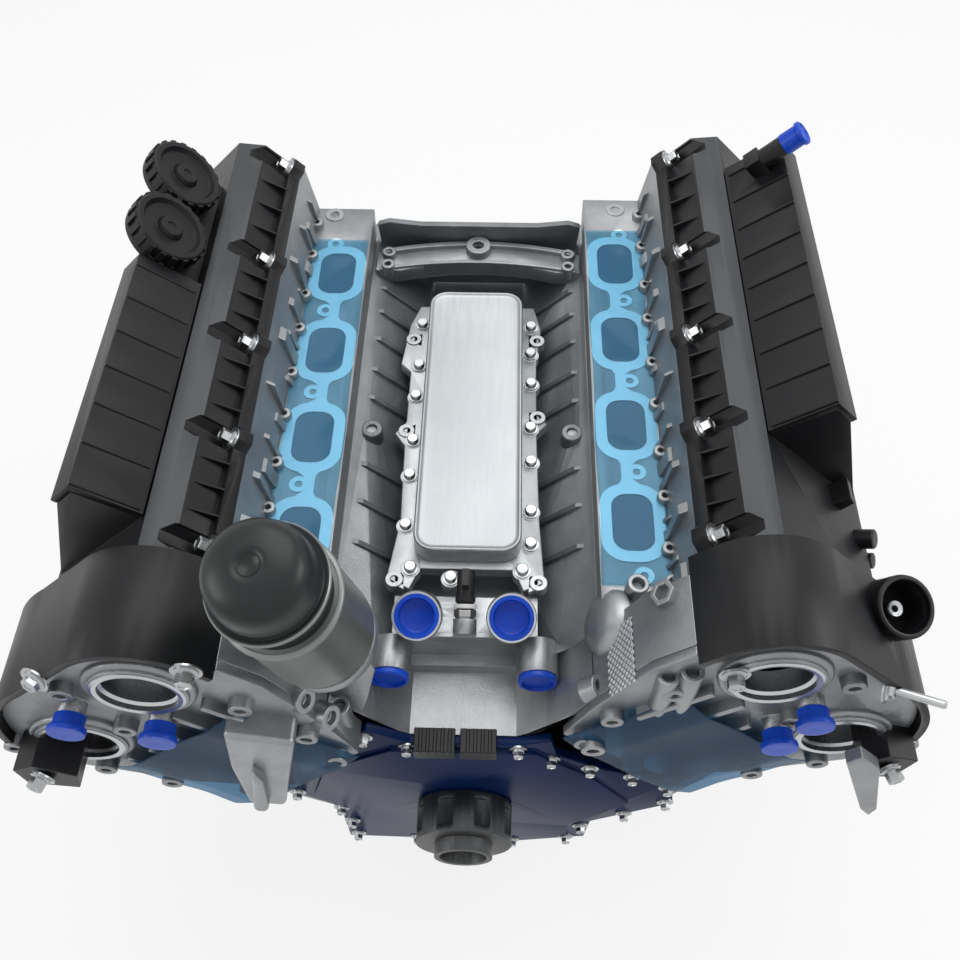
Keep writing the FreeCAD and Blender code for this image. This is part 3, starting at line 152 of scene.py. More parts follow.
# The floor is matt paper. Four fifths of what is seen of it is plain white, so it fades into
# the surround and still keeps a faint shadow under the engine.
floor_finish, tree, output = start_finish("pale_studio_floor")
matt = add(tree, "BsdfDiffuse", {"Color": linear("#f4f4f4")})
glow = add(tree, "Emission", {"Color": linear("#ffffff"), "Strength": 1.0})
veil = add(tree, "Math", {0: seen_rays(tree), 1: 0.8}, operation="MULTIPLY")
mixed = add(tree, "MixShader", {0: veil.outputs[0], 1: matt.outputs[0], 2: glow.outputs[0]})
tree.links.new(mixed.outputs[0], output.inputs["Surface"])
floor_mesh = bpy.data.meshes.new("floor")
floor_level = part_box("oil_pan")[0].z
corners = [(x * FLOOR_HALF, y * FLOOR_HALF, floor_level)
           for x, y in ((-1, -1), (1, -1), (1, 1), (-1, 1))]
floor_mesh.from_pydata(corners, [], [(0, 1, 2, 3)])
floor = bpy.data.objects.new("floor", floor_mesh)
floor_mesh.materials.append(floor_finish)
bpy.context.scene.collection.objects.link(floor)

# The castings: block, heads, timing covers, cooler plate, filter bracket and sump, poured in
# sand and shot blasted. The blasted skin is pale grey and finely grained, the sawn and
# milled faces are brighter, and every edge is rounded by the mould or by the brush.
CAST_EDGE, HEAVY_EDGE, EDGE_STEPS = 1.6, 3.0, 2
MERGE_REACH, FINE_REACH = 0.01, 0.0001
FLAT_WITHIN = 0.8


def cast_metal(name, pale, dark, rough, grain):
    """A blasted casting: patches of two greys, and a fine grain that also breaks the gloss.

    The patches are some 45 mm wide, as the mould's sand and oil leave them. The grain is given
    in mm. Real shot leaves pits of 0.2 to 0.4 mm, drawn a few times coarser here to show.
    """
    made, tree, output = start_finish(name)
    place = add(tree, "TexCoord").outputs["Object"]
    patches = add(tree, "TexNoise", {"Vector": place, "Scale": 22.0, "Detail": 5.0,
                                     "Roughness": 0.65})
    fine = add(tree, "TexNoise", {"Vector": place, "Scale": 1 / (grain * MM), "Detail": 3.0})
    blend = add(tree, "ValToRGB", {"Fac": patches.outputs["Fac"]})
    blend.color_ramp.elements[0].position = 0.2
    blend.color_ramp.elements[0].color = linear(dark)
    blend.color_ramp.elements[1].position = 0.8
    blend.color_ramp.elements[1].color = linear(pale)
    gloss = add(tree, "MapRange", {"Value": fine.outputs["Fac"], "To Min": rough - 0.1,
                                   "To Max": rough + 0.12})
    bump = add(tree, "Bump", {"Height": fine.outputs["Fac"], "Strength": 0.35,
                              "Distance": grain * MM * 0.5})
    skin = add(tree, "BsdfPrincipled", {"Base Color": blend.outputs["Color"], "Metallic": 0.8,
                                        "Roughness": gloss.outputs["Result"],
                                        "Normal": bump.outputs["Normal"]})
    tree.links.new(skin.outputs[0], output.inputs["Surface"])
    return made


def round_edges(made, edge, limit, steps=EDGE_STEPS):
    """Edges sharper than the limit, in degrees, become arcs of the given width in mm."""
    rounding = made.modifiers.new("edges", "BEVEL")
    rounding.width = edge * MM
    rounding.segments = steps
    rounding.limit_method = "ANGLE"
    rounding.angle_limit = np.radians(limit)
    rounding.harden_normals = True
    return rounding


def dressed(name, finish, edge, limit=32, repair=None):
    """A copy of a CAD node with its triangles merged, flat faces joined and edges rounded.

    A repair works on the merged mesh, whose points are then merged only where they coincide.
    """
    source = frame["nodes"][name]
    mesh = source.data.copy()
    work = bmesh.new()
    work.from_mesh(mesh)
    reach = FINE_REACH if repair else MERGE_REACH
    bmesh.ops.remove_doubles(work, verts=work.verts, dist=reach * MM)
    if repair:
        repair(work)
    bmesh.ops.dissolve_limit(work, angle_limit=np.radians(FLAT_WITHIN), verts=work.verts,
                             edges=work.edges)
    bmesh.ops.recalc_face_normals(work, faces=work.faces)
    work.to_mesh(mesh)
    work.free()
    mesh.materials.clear()
    mesh.materials.append(finish)
    made = bpy.data.objects.new(name + "_skin", mesh)
    bpy.context.scene.collection.objects.link(made)
    mesh.shade_smooth()
    round_edges(made, edge, limit).miter_outer = "MITER_ARC"
    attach(made, source["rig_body"])
    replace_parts(made, name)
    return made


# Shot-blasted aluminium: an even pale grey without streaks, dull on the flats and with a soft
# sheen on the edges.
blasted = cast_metal("blasted_aluminium_casting", "#a2a4a6", "#7d7f82", 0.42, 1.6)
# The same casting, darker and duller on the valley's rear wall and ribs: painted shade.
valley_painted_shade = cast_metal("painted_shade_valley_casting", "#85888a", "#606366", 0.46, 1.8)
# Skimmed aluminium: a lighter grey with a tighter gloss, which lifts bosses off the skin.
bright_casting = cast_metal("bright_machined_casting", "#a9abac", "#838688", 0.36, 1.2)
for name, edge in (("cylinder_head_right", CAST_EDGE), ("cylinder_head_left", CAST_EDGE),
                   ("timing_cover_right", 1.4), ("timing_cover_left", 1.4),
                   ("oil_filter_bracket", HEAVY_EDGE), ("oil_pan", HEAVY_EDGE)):
    dressed(name, blasted, edge)


def painted_where(made, finish, rule):
    """Gives a second finish to the faces whose centre, in mm, satisfies the rule."""
    mesh = made.data
    mesh.materials.append(finish)
    centre = np.empty(len(mesh.polygons) * 3)
    mesh.polygons.foreach_get("center", centre)
    chosen = rule(centre.reshape(-1, 3).T / MM)
    mesh.polygons.foreach_set("material_index", chosen.astype(np.int32))


# The block is blasted all over, but for its front between the banks, which is skimmed.
CASE_FRONT, CASE_HALF, CASE_LOW = -470, 78, 100
block = dressed("engine_block", blasted, 2.2)
painted_where(block, bright_casting, lambda at: (at[1] < CASE_FRONT)
              & (np.abs(at[0]) < CASE_HALF) & (at[2] > CASE_LOW))

# The valley of the block: rails along the arched bar at its rear with a lifting eye, the wall
# behind it, knobs on the side walls for the intake manifold, and ribs up these walls.
ARCH_TOP, ARCH_HALF, ARCH_STEPS = 214.0, 100.0, 24
KNOB_ACROSS = 92
RIB_STATIONS = (95, 128, 165, 205, 240, 318, 358, 400)


def loop_faces(rows, count, ring=False):
    """Squares between neighbouring rows of points, each row a closed loop of count points.

    A ring joins its last row to its first; other stacks are closed by two flat ends.
    """
    here = np.arange(count)
    after = (here + 1) % count
    row = np.arange(rows - (0 if ring else 1))[:, None]
    low, high = row * count, (row + 1) % rows * count
    sides = np.stack((low + here, low + after, high + after, high + here), -1)
    last = (rows - 1) * count
    ends = [] if ring else [here[::-1].tolist(), (here + last).tolist()]
    return sides.reshape(-1, 4).tolist() + ends


def slab(outline, low, high, along):
    """An outline carried straight along an axis: one loop of points at low and one at high."""
    outline = np.asarray(outline, float)
    loops = [np.insert(outline, along, level, axis=1) for level in (low, high)]
    return np.vstack(loops), loop_faces(2, len(outline))


def turned_part(profile, turns, centre, axis, ring=False):
    """Pairs of radius and height carried round an axis: centre + r (cos t, sin t) + h axis."""
    profile = np.asarray(profile, float)
    axis = np.asarray(axis, float) / np.linalg.norm(axis)
    first = np.cross(axis, (0.0, 1.0, 0.0) if abs(axis[1]) < 0.9 else (1.0, 0.0, 0.0))
    first /= np.linalg.norm(first)
    angle = np.arange(turns) / turns * 2 * np.pi
    spoke = np.outer(np.cos(angle), first) + np.outer(np.sin(angle), np.cross(axis, first))
    points = (np.asarray(centre, float) + profile[:, 0, None, None] * spoke
              + profile[:, 1, None, None] * axis).reshape(-1, 3)
    return points, loop_faces(len(profile), turns, ring)


def joined(parts):
    """Several (points, faces) pairs as one, each count of points added to the next faces."""
    points, faces, count = [], [], 0
    for some, sides in parts:
        points.append(some)
        faces += [[corner + count for corner in face] for face in sides]
        count += len(some)
    return np.vstack(points), faces


def make(name, part, finish, crease=33, edge=0.0, steps=EDGE_STEPS):
    """A fixed piece from points in mm and faces, turned outwards; edge > 0 rounds sharp edges."""
    points, faces = part
    mesh = bpy.data.meshes.new(name)
    mesh.from_pydata((points * MM).tolist(), [], faces)
    work = bmesh.new()
    work.from_mesh(mesh)
    bmesh.ops.recalc_face_normals(work, faces=work.faces)
    work.to_mesh(mesh)
    work.free()
    mesh.materials.append(finish)
    mesh.shade_smooth()
    mesh.set_sharp_from_angle(angle=np.radians(crease))
    made = bpy.data.objects.new(name, mesh)
    bpy.context.scene.collection.objects.link(made)
    if edge:
        round_edges(made, edge, crease, steps)
    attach(made, "engine")
    return made


def arc_band(rise, width, ahead):
    """A band bowed to the rear: y = ahead + rise (1 - (x / half) squared), width deep."""
    x = np.linspace(-ARCH_HALF, ARCH_HALF, ARCH_STEPS)
    rear = ahead + rise * (1 - (x / ARCH_HALF) ** 2)
    return np.vstack((np.stack((x, rear), 1), np.stack((x, rear - width), 1)[::-1]))


arch = [slab(arc_band(14, 6, -53), ARCH_TOP - 14, ARCH_TOP + 4, 2),
        slab(arc_band(12, 4, -78), ARCH_TOP - 14, ARCH_TOP + 3, 2),
        turned_part([(5.5, 4), (5.5, 9), (12.8, 9), (12.8, -14), (5.5, -14)], 32,
                    (0, -50, ARCH_TOP), (0, 0, 1), ring=True)]
for side in (-1, 1):
    for y in (-58, -76):
        arch.append(turned_part([(3, 3), (3, 6), (7, 6), (7, -8), (3, -8)], 24,
                                (side * KNOB_ACROSS, y, ARCH_TOP), (0, 0, 1), ring=True))
make("valley_arch", joined(arch), blasted, edge=1.0)
wall = [(-52, 156), (52, 156), (102, 207), (104, 236), (92, 240), (60, 236), (-60, 236),
        (-92, 240), (-104, 236), (-102, 207)]
# The rear wall takes the darker casting: painted shade deep in the valley.
make("valley_rear_wall", slab(wall, -37, -30, 1), valley_painted_shade, edge=1.0)

wall_parts = []
for side in (-1, 1):
    wall_parts.append(turned_part([(4.6, -14), (4.6, 2.5), (9, 2.5), (10, 1), (10, -14)], 28,
                                  (side * KNOB_ACROSS, -280, 205), (0, 0, 1), ring=True))
    rib = [(side * x, z) for x, z in ((58, 150), (48, 160), (93, 204), (106, 206))]
    for station in RIB_STATIONS:
        wall_parts.append(slab(rib, -station - 2.5, -station + 2.5, 1))
# The ribs and knobs on the valley walls take the darker casting: painted shade.
make("valley_wall_ribs", joined(wall_parts), valley_painted_shade, edge=0.8)

# The crank train: a forged steel crankshaft with ground journals, its sprocket and the cast
# hub on its nose, the bearing caps, the camshafts and chains it drives, and the eight
# light-alloy pistons. Most of it is out of sight.


def turned_metal(name, pale, dark, rough, pitch):
    """Machined metal: two close greys in a haze 26 mm wide, and marks that break the gloss.

    The pitch of the marks is given in mm. A real feed of 0.1 to 0.2 mm wouldn't show.
    """
    made, tree, output = start_finish(name)
    place = add(tree, "TexCoord").outputs["Object"]
    marks = add(tree, "TexNoise", {"Vector": place, "Scale": 1 / (pitch * MM), "Detail": 2.0})
    haze = add(tree, "TexNoise", {"Vector": place, "Scale": 38.0, "Detail": 3.0})
    shade = add(tree, "Mix", {6: linear(dark), 7: linear(pale), 0: haze.outputs["Fac"]},
                data_type="RGBA")
    gloss = add(tree, "MapRange", {"Value": marks.outputs["Fac"], "To Min": rough - 0.06,
                                   "To Max": rough + 0.1})
    bump = add(tree, "Bump", {"Height": marks.outputs["Fac"], "Strength": 0.2,
                              "Distance": pitch * MM * 0.3})
    skin = add(tree, "BsdfPrincipled", {"Base Color": shade.outputs[2], "Metallic": 1.0,
                                        "Roughness": gloss.outputs["Result"],
                                        "Normal": bump.outputs["Normal"]})
    tree.links.new(skin.outputs[0], output.inputs["Surface"])
    return made


def finish_node(name, finish):
    """Gives a CAD node that keeps its own mesh its one finish."""
    materials = frame["nodes"][name].data.materials
    materials.clear()
    materials.append(finish)


# Ground steel: a mid grey with a sharp gloss that runs round each journal.
ground_steel = turned_metal("ground_forged_steel", "#9b9c9e", "#77787a", 0.3, 0.8)
# Cast iron: a dark grey against the aluminium, and rough.
cast_iron = cast_metal("dark_cast_iron", "#6d6f72", "#4e5053", 0.4, 1.4)
# Milled aluminium: the brightest metal here, seen on rims that were cut last.
milled = turned_metal("milled_aluminium", "#c9cbcd", "#b2b4b7", 0.27, 0.6)
# Zinc plate on screws: bright and neutral, with small hard highlights.
plated = turned_metal("zinc_plated_steel", "#bfc1c2", "#97999b", 0.26, 0.5)
for name in ("crankshaft", "crank_sprocket", "main_bearing_caps", "timing_chain_right",
             "timing_chain_left"):
    finish_node(name, ground_steel)
for bank in ("right", "left"):
    for kind in ("intake", "exhaust"):
        finish_node("camshaft_%s_%s" % (kind, bank), ground_steel)
        finish_node("cam_phaser_%s_%s" % (kind, bank), ground_steel)
    for count in range(1, 5):
        finish_node("piston_%s_%d" % (bank, count), milled)
    finish_node("cam_caps_" + bank, milled)
    finish_node("head_gasket_" + bank, milled)
finish_node("oil_pickup", cast_iron)
for name in ("oil_pump", "rear_seal_carrier"):
    dressed(name, blasted, 1.2)
# Phosphated iron: charcoal grey and matt, so the notches of the hub stay dark.
hub_iron = cast_metal("phosphated_hub_iron", "#58595a", "#38393a", 0.42, 1.2)
dressed("crank_hub", hub_iron, 1.2)

# The lower timing cover: a pressed and painted plate, near black with a blue cast, held by
# plated screws with flanges all round its rim, with the rubber lip seal in its middle.
COVER_FACE = 553.0
WASHER_PAST = 2.5
# The screws' places across and up.
COVER_SCREWS = ((-146, 82), (-112, 116), (-80, 152), (-46, 132), (46, 132), (74, 112),
                (108, 92), (146, 74), (180, 48), (184, 8), (150, -28), (112, -70), (100, -106),
                (46, -122), (0, -120), (-50, -120), (-110, -112), (-112, -70), (-118, -30),
                (-154, 12), (-152, 50))


def coated(name, colour, rough, grain, strength=0.12, metallic=0.0, shine=0.3):
    """A painted or moulded skin: one colour, faint clouds 60 mm wide and a fine grain.

    The grain is given in mm, two to four times as coarse as the real one, so that it shows.
    """
    made, tree, output = start_finish(name)
    place = add(tree, "TexCoord").outputs["Object"]
    clouds = add(tree, "TexNoise", {"Vector": place, "Scale": 17.0, "Detail": 4.0})
    fine = add(tree, "TexNoise", {"Vector": place, "Scale": 1 / (grain * MM), "Detail": 2.0})
    lift = add(tree, "MapRange", {"Value": clouds.outputs["Fac"], "From Min": 0.3,
                                  "From Max": 0.7, "To Min": 0.85, "To Max": 1.15})
    shade = add(tree, "HueSaturation", {"Color": linear(colour),
                                        "Value": lift.outputs["Result"]})
    gloss = add(tree, "MapRange", {"Value": clouds.outputs["Fac"], "To Min": rough - 0.06,
                                   "To Max": rough + 0.06})
    bump = add(tree, "Bump", {"Height": fine.outputs["Fac"], "Strength": strength,
                              "Distance": grain * MM * 0.4})
    skin = add(tree, "BsdfPrincipled", {"Base Color": shade.outputs["Color"],
                                        "Metallic": metallic, "Specular IOR Level": shine,
                                        "Roughness": gloss.outputs["Result"],
                                        "Normal": bump.outputs["Normal"]})
    tree.links.new(skin.outputs[0], output.inputs["Surface"])
    return made


def hex_screw(place, axis, flats=10.0, head=6.0, flange=7.5):
    """A screw head: a washer, a flange that thins outwards, and a hexagon with a dished top."""
    corner = flats / np.sqrt(3)
    outside = flange + WASHER_PAST
    washer = turned_part([(0.1, 0), (outside, 0), (outside, 1.4), (0.1, 1.4)], 24, place, axis)
    rim = turned_part([(0.1, 1.4), (flange, 1.4), (flange, 2.2), (corner, 3.4), (0.1, 3.4)], 24,
                      place, axis)
    nut = turned_part([(0.1, 3), (corner, 3), (corner, 2 + head), (corner * 0.86, 3 + head),
                       (corner * 0.6, 3 + head), (corner * 0.55, 2.4 + head),
                       (0.1, 2.4 + head)], 6, place, axis)
    return joined([washer, rim, nut])


# Enamel on pressed steel: black in the shade, navy in the light, with soft waves in its gloss.
navy_paint = coated("black_navy_enamel", "#04204c", 0.3, 2.0, 0.05, shine=0.1)
# Moulded rubber: black and dull, with hardly any highlight.
rubber = coated("black_rubber", "#1a1b1c", 0.6, 1.0)
dressed("front_cover", navy_paint, 1.0)
finish_node("front_seal", rubber)
make("front_cover_screws",
     joined([hex_screw((x, -COVER_FACE, z), (0, -1, 0), 8, 5, 5.2) for x, z in COVER_SCREWS]),
     plated, crease=25)

# The oil cooler: a stack of pressed aluminium dishes, brazed rim on rim, on a cast plate
# that star-socket screws hold down on the valley floor.
COOLER_HALF = 46.0
COOLER_REAR, COOLER_FRONT = 110.0, 413.0
COOLER_FOOT, COOLER_TOP = 195.0, 215.0
COOLER_DISHES = 9
COOLER_CORNER, CORNER_STEPS = 17.0, 8
# Insets from the cooler's side, each with its share of a dish's height, or its depth under
# the top of the lid.
DISH_WALL = ((2.6, 0.05), (2.6, 0.35), (0.6, 0.5), (0.0, 0.62), (0.0, 0.85), (0.6, 0.97))
LID_WALL = ((0.0, 2.4), (0.0, 1.0), (1.0, 0.0), (2.2, 0.0), (3.0, 0.8), (4.4, 1.6), (6.0, 1.8))
LID_THICK = 3


def round_box(half_wide, half_long, corner):
    """A rectangle with round corners: four quarter circles set at its corners."""
    quarter = np.linspace(0, np.pi / 2, CORNER_STEPS)
    parts = []
    for turn, (x, y) in enumerate(((1, 1), (-1, 1), (-1, -1), (1, -1))):
        angle = quarter + turn * np.pi / 2
        parts.append(np.stack((x * (half_wide - corner) + corner * np.cos(angle),
                               y * (half_long - corner) + corner * np.sin(angle)), 1))
    return np.vstack(parts)


def stacked(outlines, levels, ring=False):
    """Flat outlines of one length, each laid at its level, joined as loop_faces says."""
    loops = [np.column_stack((flat, np.full(len(flat), level)))
             for flat, level in zip(outlines, levels)]
    return np.vstack(loops), loop_faces(len(loops), len(loops[0]), ring)


half_long = (COOLER_FRONT - COOLER_REAR) / 2
dish = (COOLER_TOP - COOLER_FOOT - LID_THICK) / COOLER_DISHES
wall = [(inset, COOLER_FOOT + count * dish + share * dish)
        for count in range(COOLER_DISHES) for inset, share in DISH_WALL]
wall += [(inset, COOLER_TOP - depth) for inset, depth in LID_WALL]
points, faces = stacked([round_box(COOLER_HALF - inset, half_long - inset,
                                   COOLER_CORNER - inset) for inset, level in wall],
                        [level for inset, level in wall])
points[:, 1] -= (COOLER_REAR + COOLER_FRONT) / 2


def brushed_metal(name, pale, dark, rough):
    """Brushed sheet: streaks 4 mm wide and eleven times as long, in two greys, over stains.

    Real brush marks are under 0.5 mm wide, so the streaks stand for bundles of them.
    """
    made, tree, output = start_finish(name)
    place = add(tree, "TexCoord").outputs["Object"]
    drawn = add(tree, "Mapping", {"Vector": place, "Scale": (1.0, 0.09, 1.0)})
    streaks = add(tree, "TexNoise", {"Vector": drawn.outputs[0], "Scale": 260.0, "Detail": 4.0})
    stains = add(tree, "TexNoise", {"Vector": place, "Scale": 9.0, "Detail": 4.0,
                                    "Distortion": 0.6})
    share = add(tree, "Math", {0: streaks.outputs["Fac"], 1: stains.outputs["Fac"], 2: 0.12},
                operation="MULTIPLY_ADD")
    shade = add(tree, "Mix", {6: linear(dark), 7: linear(pale), 0: share.outputs[0]},
                data_type="RGBA")
    gloss = add(tree, "MapRange", {"Value": streaks.outputs["Fac"], "To Min": rough - 0.08,
                                   "To Max": rough + 0.12})
    bump = add(tree, "Bump", {"Height": streaks.outputs["Fac"], "Strength": 0.12,
                              "Distance": 0.0002})
    skin = add(tree, "BsdfPrincipled", {"Base Color": shade.outputs[2], "Metallic": 0.85,
                                        "Roughness": gloss.outputs["Result"],
                                        "Normal": bump.outputs["Normal"]})
    tree.links.new(skin.outputs[0], output.inputs["Surface"])
    return made


# Brushed aluminium: silvery, with streaks along the lid that blur what it mirrors.
brushed = brushed_metal("brushed_cooler_aluminium", "#bcbfc1", "#84888b", 0.36)
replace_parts(make("cooler_dishes", (points, faces), brushed, crease=50),
            "oil_cooler")
# Die-cast aluminium: smoother and paler than the sand castings round it.
plate_metal = cast_metal("die_cast_aluminium", "#b9bcbe", "#919496", 0.36, 1.0)
dressed("cooler_plate", plate_metal, 1.0)

# The intake side of the heads: one steel-cored gasket with four port rings on each, and a
# strip of clear blue film over it, stuck on for transport and drawn in a little at each port.
PORT_LEVEL, GASKET_TOP = 250.0, 250.9
PORT_CENTRE = 135.0
FIRST_BORE, BORE_PITCH, BANK_STAGGER = 105.0, 100.0, 19.0
PORT_WIDE, PORT_LONG = 34.0, 55.0
FILM_HALF, FILM_WALL = 27.0, 0.15
FILM_ROWS, FILM_COLUMNS = 181, 25
# The outline of the web between two rings of the gasket: mm outwards, mm along, and the ring
# that is measured from, 0 for the rear one and 1 for the front one.
WEB = ((-11, -35, 0), (11, -35, 0), (4, -41, 0), (0, -45, 0), (-1.4, -50, 0), (0, 45, 1),
       (4, 41, 1), (11, 35, 1), (-11, 35, 1), (-7, 42, 1), (-7, -42, 0))


def stagger(side):
    """How far, in mm, the left bank stands ahead of the right one."""
    return BANK_STAGGER if side < 0 else 0.0


def port_stations(side):
    """The four port centres of a bank, as world Y."""
    return [-(FIRST_BORE + row * BORE_PITCH + stagger(side)) for row in range(4)]


def film_sheet(name, tint, haze, clear):
    """Clear film: light passes with a blue tint, under a blue haze with a bright gloss.

    Waves some 30 mm long bend the gloss, as in film that was pulled tight by hand.
    """
    made, tree, output = start_finish(name)
    place = add(tree, "TexCoord").outputs["Object"]
    waves = add(tree, "TexNoise", {"Vector": place, "Scale": 34.0, "Detail": 2.0})
    bump = add(tree, "Bump", {"Height": waves.outputs["Fac"], "Strength": 0.25,
                              "Distance": 0.002})
    through = add(tree, "BsdfTransparent", {"Color": linear(tint)})
    skin = add(tree, "BsdfPrincipled", {"Base Color": linear(haze), "Roughness": 0.16,
                                        "Specular IOR Level": 0.8,
                                        "Normal": bump.outputs["Normal"]})
    mixed = add(tree, "MixShader", {0: clear, 1: skin.outputs[0], 2: through.outputs[0]})
    tree.links.new(mixed.outputs[0], output.inputs["Surface"])
    return made


# Polyethylene film: pale blue over grey metal, with thin white streaks of light.
film = film_sheet("clear_blue_film", "#dcf0f8", "#67a9c9", 0.86)
# Coated gasket steel: nearly white and satin, so it shines light blue through the film.
gasket_metal = turned_metal("coated_gasket_steel", "#e2ecef", "#cfdade", 0.5, 1.2)


def rounded_corners(wide, long, corner, centre):
    """The rounded rectangle of round_box, by its full width and length, moved to a centre."""
    return round_box(wide / 2, long / 2, corner) + np.asarray(centre, float)


def thin_sheet(name, points, finish, thickness):
    """A grid of points as one sheet: squares between neighbours, given a wall in mm."""
    rows, columns = points.shape[:2]
    corner = (np.arange(rows - 1)[:, None] * columns + np.arange(columns - 1)).ravel()
    faces = np.stack((corner, corner + 1, corner + columns + 1, corner + columns), 1).tolist()
    sheet = make(name, (points.reshape(-1, 3), faces), finish, crease=80)
    sheet.modifiers.new("thickness", "SOLIDIFY").thickness = thickness * MM
    return sheet


for bank, side in (("right", 1), ("left", -1)):
    centres = port_stations(side)
    gasket = []
    for y in centres:
        outer = rounded_corners(53, 75, 21, (side * PORT_CENTRE, y))
        inner = rounded_corners(PORT_WIDE, PORT_LONG, 13, (side * PORT_CENTRE, y))
        gasket.append(stacked((inner, inner, outer, outer),
                              (PORT_LEVEL, GASKET_TOP, GASKET_TOP, PORT_LEVEL), ring=True))
    for y in [centres[0] + 41] + [one - 50 for one in centres]:
        eye = (side * (PORT_CENTRE + 6), y, PORT_LEVEL)
        gasket.append(turned_part([(3.4, 0), (3.4, 1.0), (8, 1.0), (8, 0)], 24, eye,
                                  (0, 0, 1), ring=True))
    for pair in zip(centres, centres[1:]):
        web = [(side * (PORT_CENTRE + x), pair[ring] + y) for x, y, ring in WEB]
        gasket.append(slab(web, PORT_LEVEL + 0.05, PORT_LEVEL + 0.85, 2))
    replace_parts(make("gasket_" + bank, joined(gasket), gasket_metal, crease=40),
                "intake_gasket_" + bank)

    # The film's height over (x, y): a dish over each port, curled long edges, small waves.
    y, x = np.meshgrid(np.linspace(centres[0] + 47, centres[3] - 59, FILM_ROWS),
                       np.linspace(-FILM_HALF, FILM_HALF, FILM_COLUMNS), indexing="ij")
    dish = sum(np.exp(-((y - centre) / 19) ** 4 - (x / 13) ** 4) for centre in centres)
    curl = 1.4 * np.exp(-((np.abs(x) - FILM_HALF) / 4) ** 2) * np.sin(y / 17 + x / 9) ** 2
    level = PORT_LEVEL + 1.45 - 1.0 * dish + 0.25 * curl + 0.12 * np.sin(y / 6.1 + x / 5)
    edge = x + 0.7 * np.sin(y / 23) * np.abs(x) / FILM_HALF
    points = np.stack((side * (PORT_CENTRE + edge), y, level), -1)
    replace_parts(thin_sheet("film_" + bank, points, film, FILM_WALL),
                "port_film_" + bank)

# Under the film each port is closed by a dark blue disc: painted shade that stands for the
# dark port seen through the film, so the openings read as a deep, even blue.
port_painted_shade = coated("painted_port_shade_blue", "#2b5a78", 0.32, 6.0, 0.02)
for bank, side in (("right", 1), ("left", -1)):
    shade_discs = []
    for y in port_stations(side):
        outline = rounded_corners(PORT_WIDE - 0.6, PORT_LONG - 0.6, 12.6,
                                  (side * PORT_CENTRE, y))
        shade_discs.append(slab(outline, PORT_LEVEL - 0.6, PORT_LEVEL - 0.2, 2))
    make("port_painted_shade_" + bank, joined(shade_discs), port_painted_shade)

# The heads beside the gaskets: ribs and screw bosses in the groove under each cover, a lug
# at the rear end, and on the right front a bulge with a patch of sealing net.
GROOVE_RIBS = (34, 62, 79, 104, 131, 144, 172, 204, 218, 246, 281, 296, 327, 352, 371, 404,
               418, 447, 466)
RIB_HALVES = (1.6, 4.5, 2.2, 7.0, 3.0)
RIB_TOPS = (284, 278, 290, 266, 296, 272)
GROOVE_BOSSES = (38, 84, 138, 182, 236, 284, 336, 382, 432, 462)
for bank, side, (x, y) in (("right", 1, (139.2, -25.4)), ("left", -1, (-146.5, -39.1))):
    cast = []
    for count, station in enumerate(GROOVE_RIBS):
        half, top = RIB_HALVES[count % 5], RIB_TOPS[count % 6]
        rib = [(side * x, z) for x, z in ((158, 249), (161, 256), (164, top - 6), (172, top),
                                          (178, top), (178, 249))]
        middle = -station - stagger(side)
        cast.append(slab(rib, middle - half, middle + half, 1))
    for station in GROOVE_BOSSES:
        cast.append(turned_part([(2.4, -12), (2.4, 5), (5.6, 5), (6.4, 3), (6.4, -12)], 24,
                                (side * 162, -station - stagger(side), 252), (0, 0, 1),
                                ring=True))
    cast.append(turned_part([(4.2, -10), (4.2, 1), (9.5, 1), (9.5, -10)], 32, (x, y, 250),
                            (0, 0, 1), ring=True))
    cast.append(slab([(x - 6, y - 7), (x + 6, y - 7), (x + 14 * side + 8, y - 40),
                      (x + 14 * side - 8, y - 40)], 241, 249, 2))
    make("head_groove_" + bank, joined(cast), bright_casting, edge=0.8)

# Small castings at the fronts of the heads, as pairs of radius and height: a low bulge on the
# valley side, a hexagon plug, hollow columns and knobs for pipes and screws.
slope = np.array((-0.894, 0, 0.447))
bulge = [(0.1, -6), (28, -6), (26, 1), (21, 6), (15, 9), (7, 10.6), (0.1, 11)]
hexagon = [(0.1, -20), (11, -20), (11, 5), (6.2, 5), (5.8, -2), (0.1, -2)]
column = [(0.1, -66), (8.5, -66), (8.5, 0), (4.6, 0), (4.6, -8), (0.1, -8)]
knob = [(0.1, -8), (10.5, -8), (9.6, 7), (4.8, 7), (4.8, 1), (0.1, 1)]
make("head_front_right", joined([
    turned_part(bulge, 64, (110, -490, 238), slope),
    turned_part(hexagon, 6, (147, -498, 300), (-0.707, 0, 0.707)),
    turned_part(column, 32, (148, -553, 282), (0, 0, 1)),
    turned_part(column, 32, (163, -554, 292), (0, 0, 1)),
    turned_part(column, 32, (134, -470, 266), (0.1, 0, 1)),
    turned_part(knob, 32, (101, -536, 218), (0.707, 0, 0.707)),
    turned_part(knob, 32, (104, -560, 166), (0, -1, 0))]),
     bright_casting, edge=1.2)
make("head_front_left", joined([
    turned_part(knob, 32, (-116, -563, 249), (0.82, -0.39, 0.41)),
    turned_part(knob, 32, (-100, -566, 226), (0.82, -0.39, 0.41)),
    turned_part(column, 32, (-93, -552, 214), (0, 0, 1)),
    turned_part(bulge, 64, (-104, -500, 226), (0.894, 0, 0.447))]),
     bright_casting, edge=1.2)

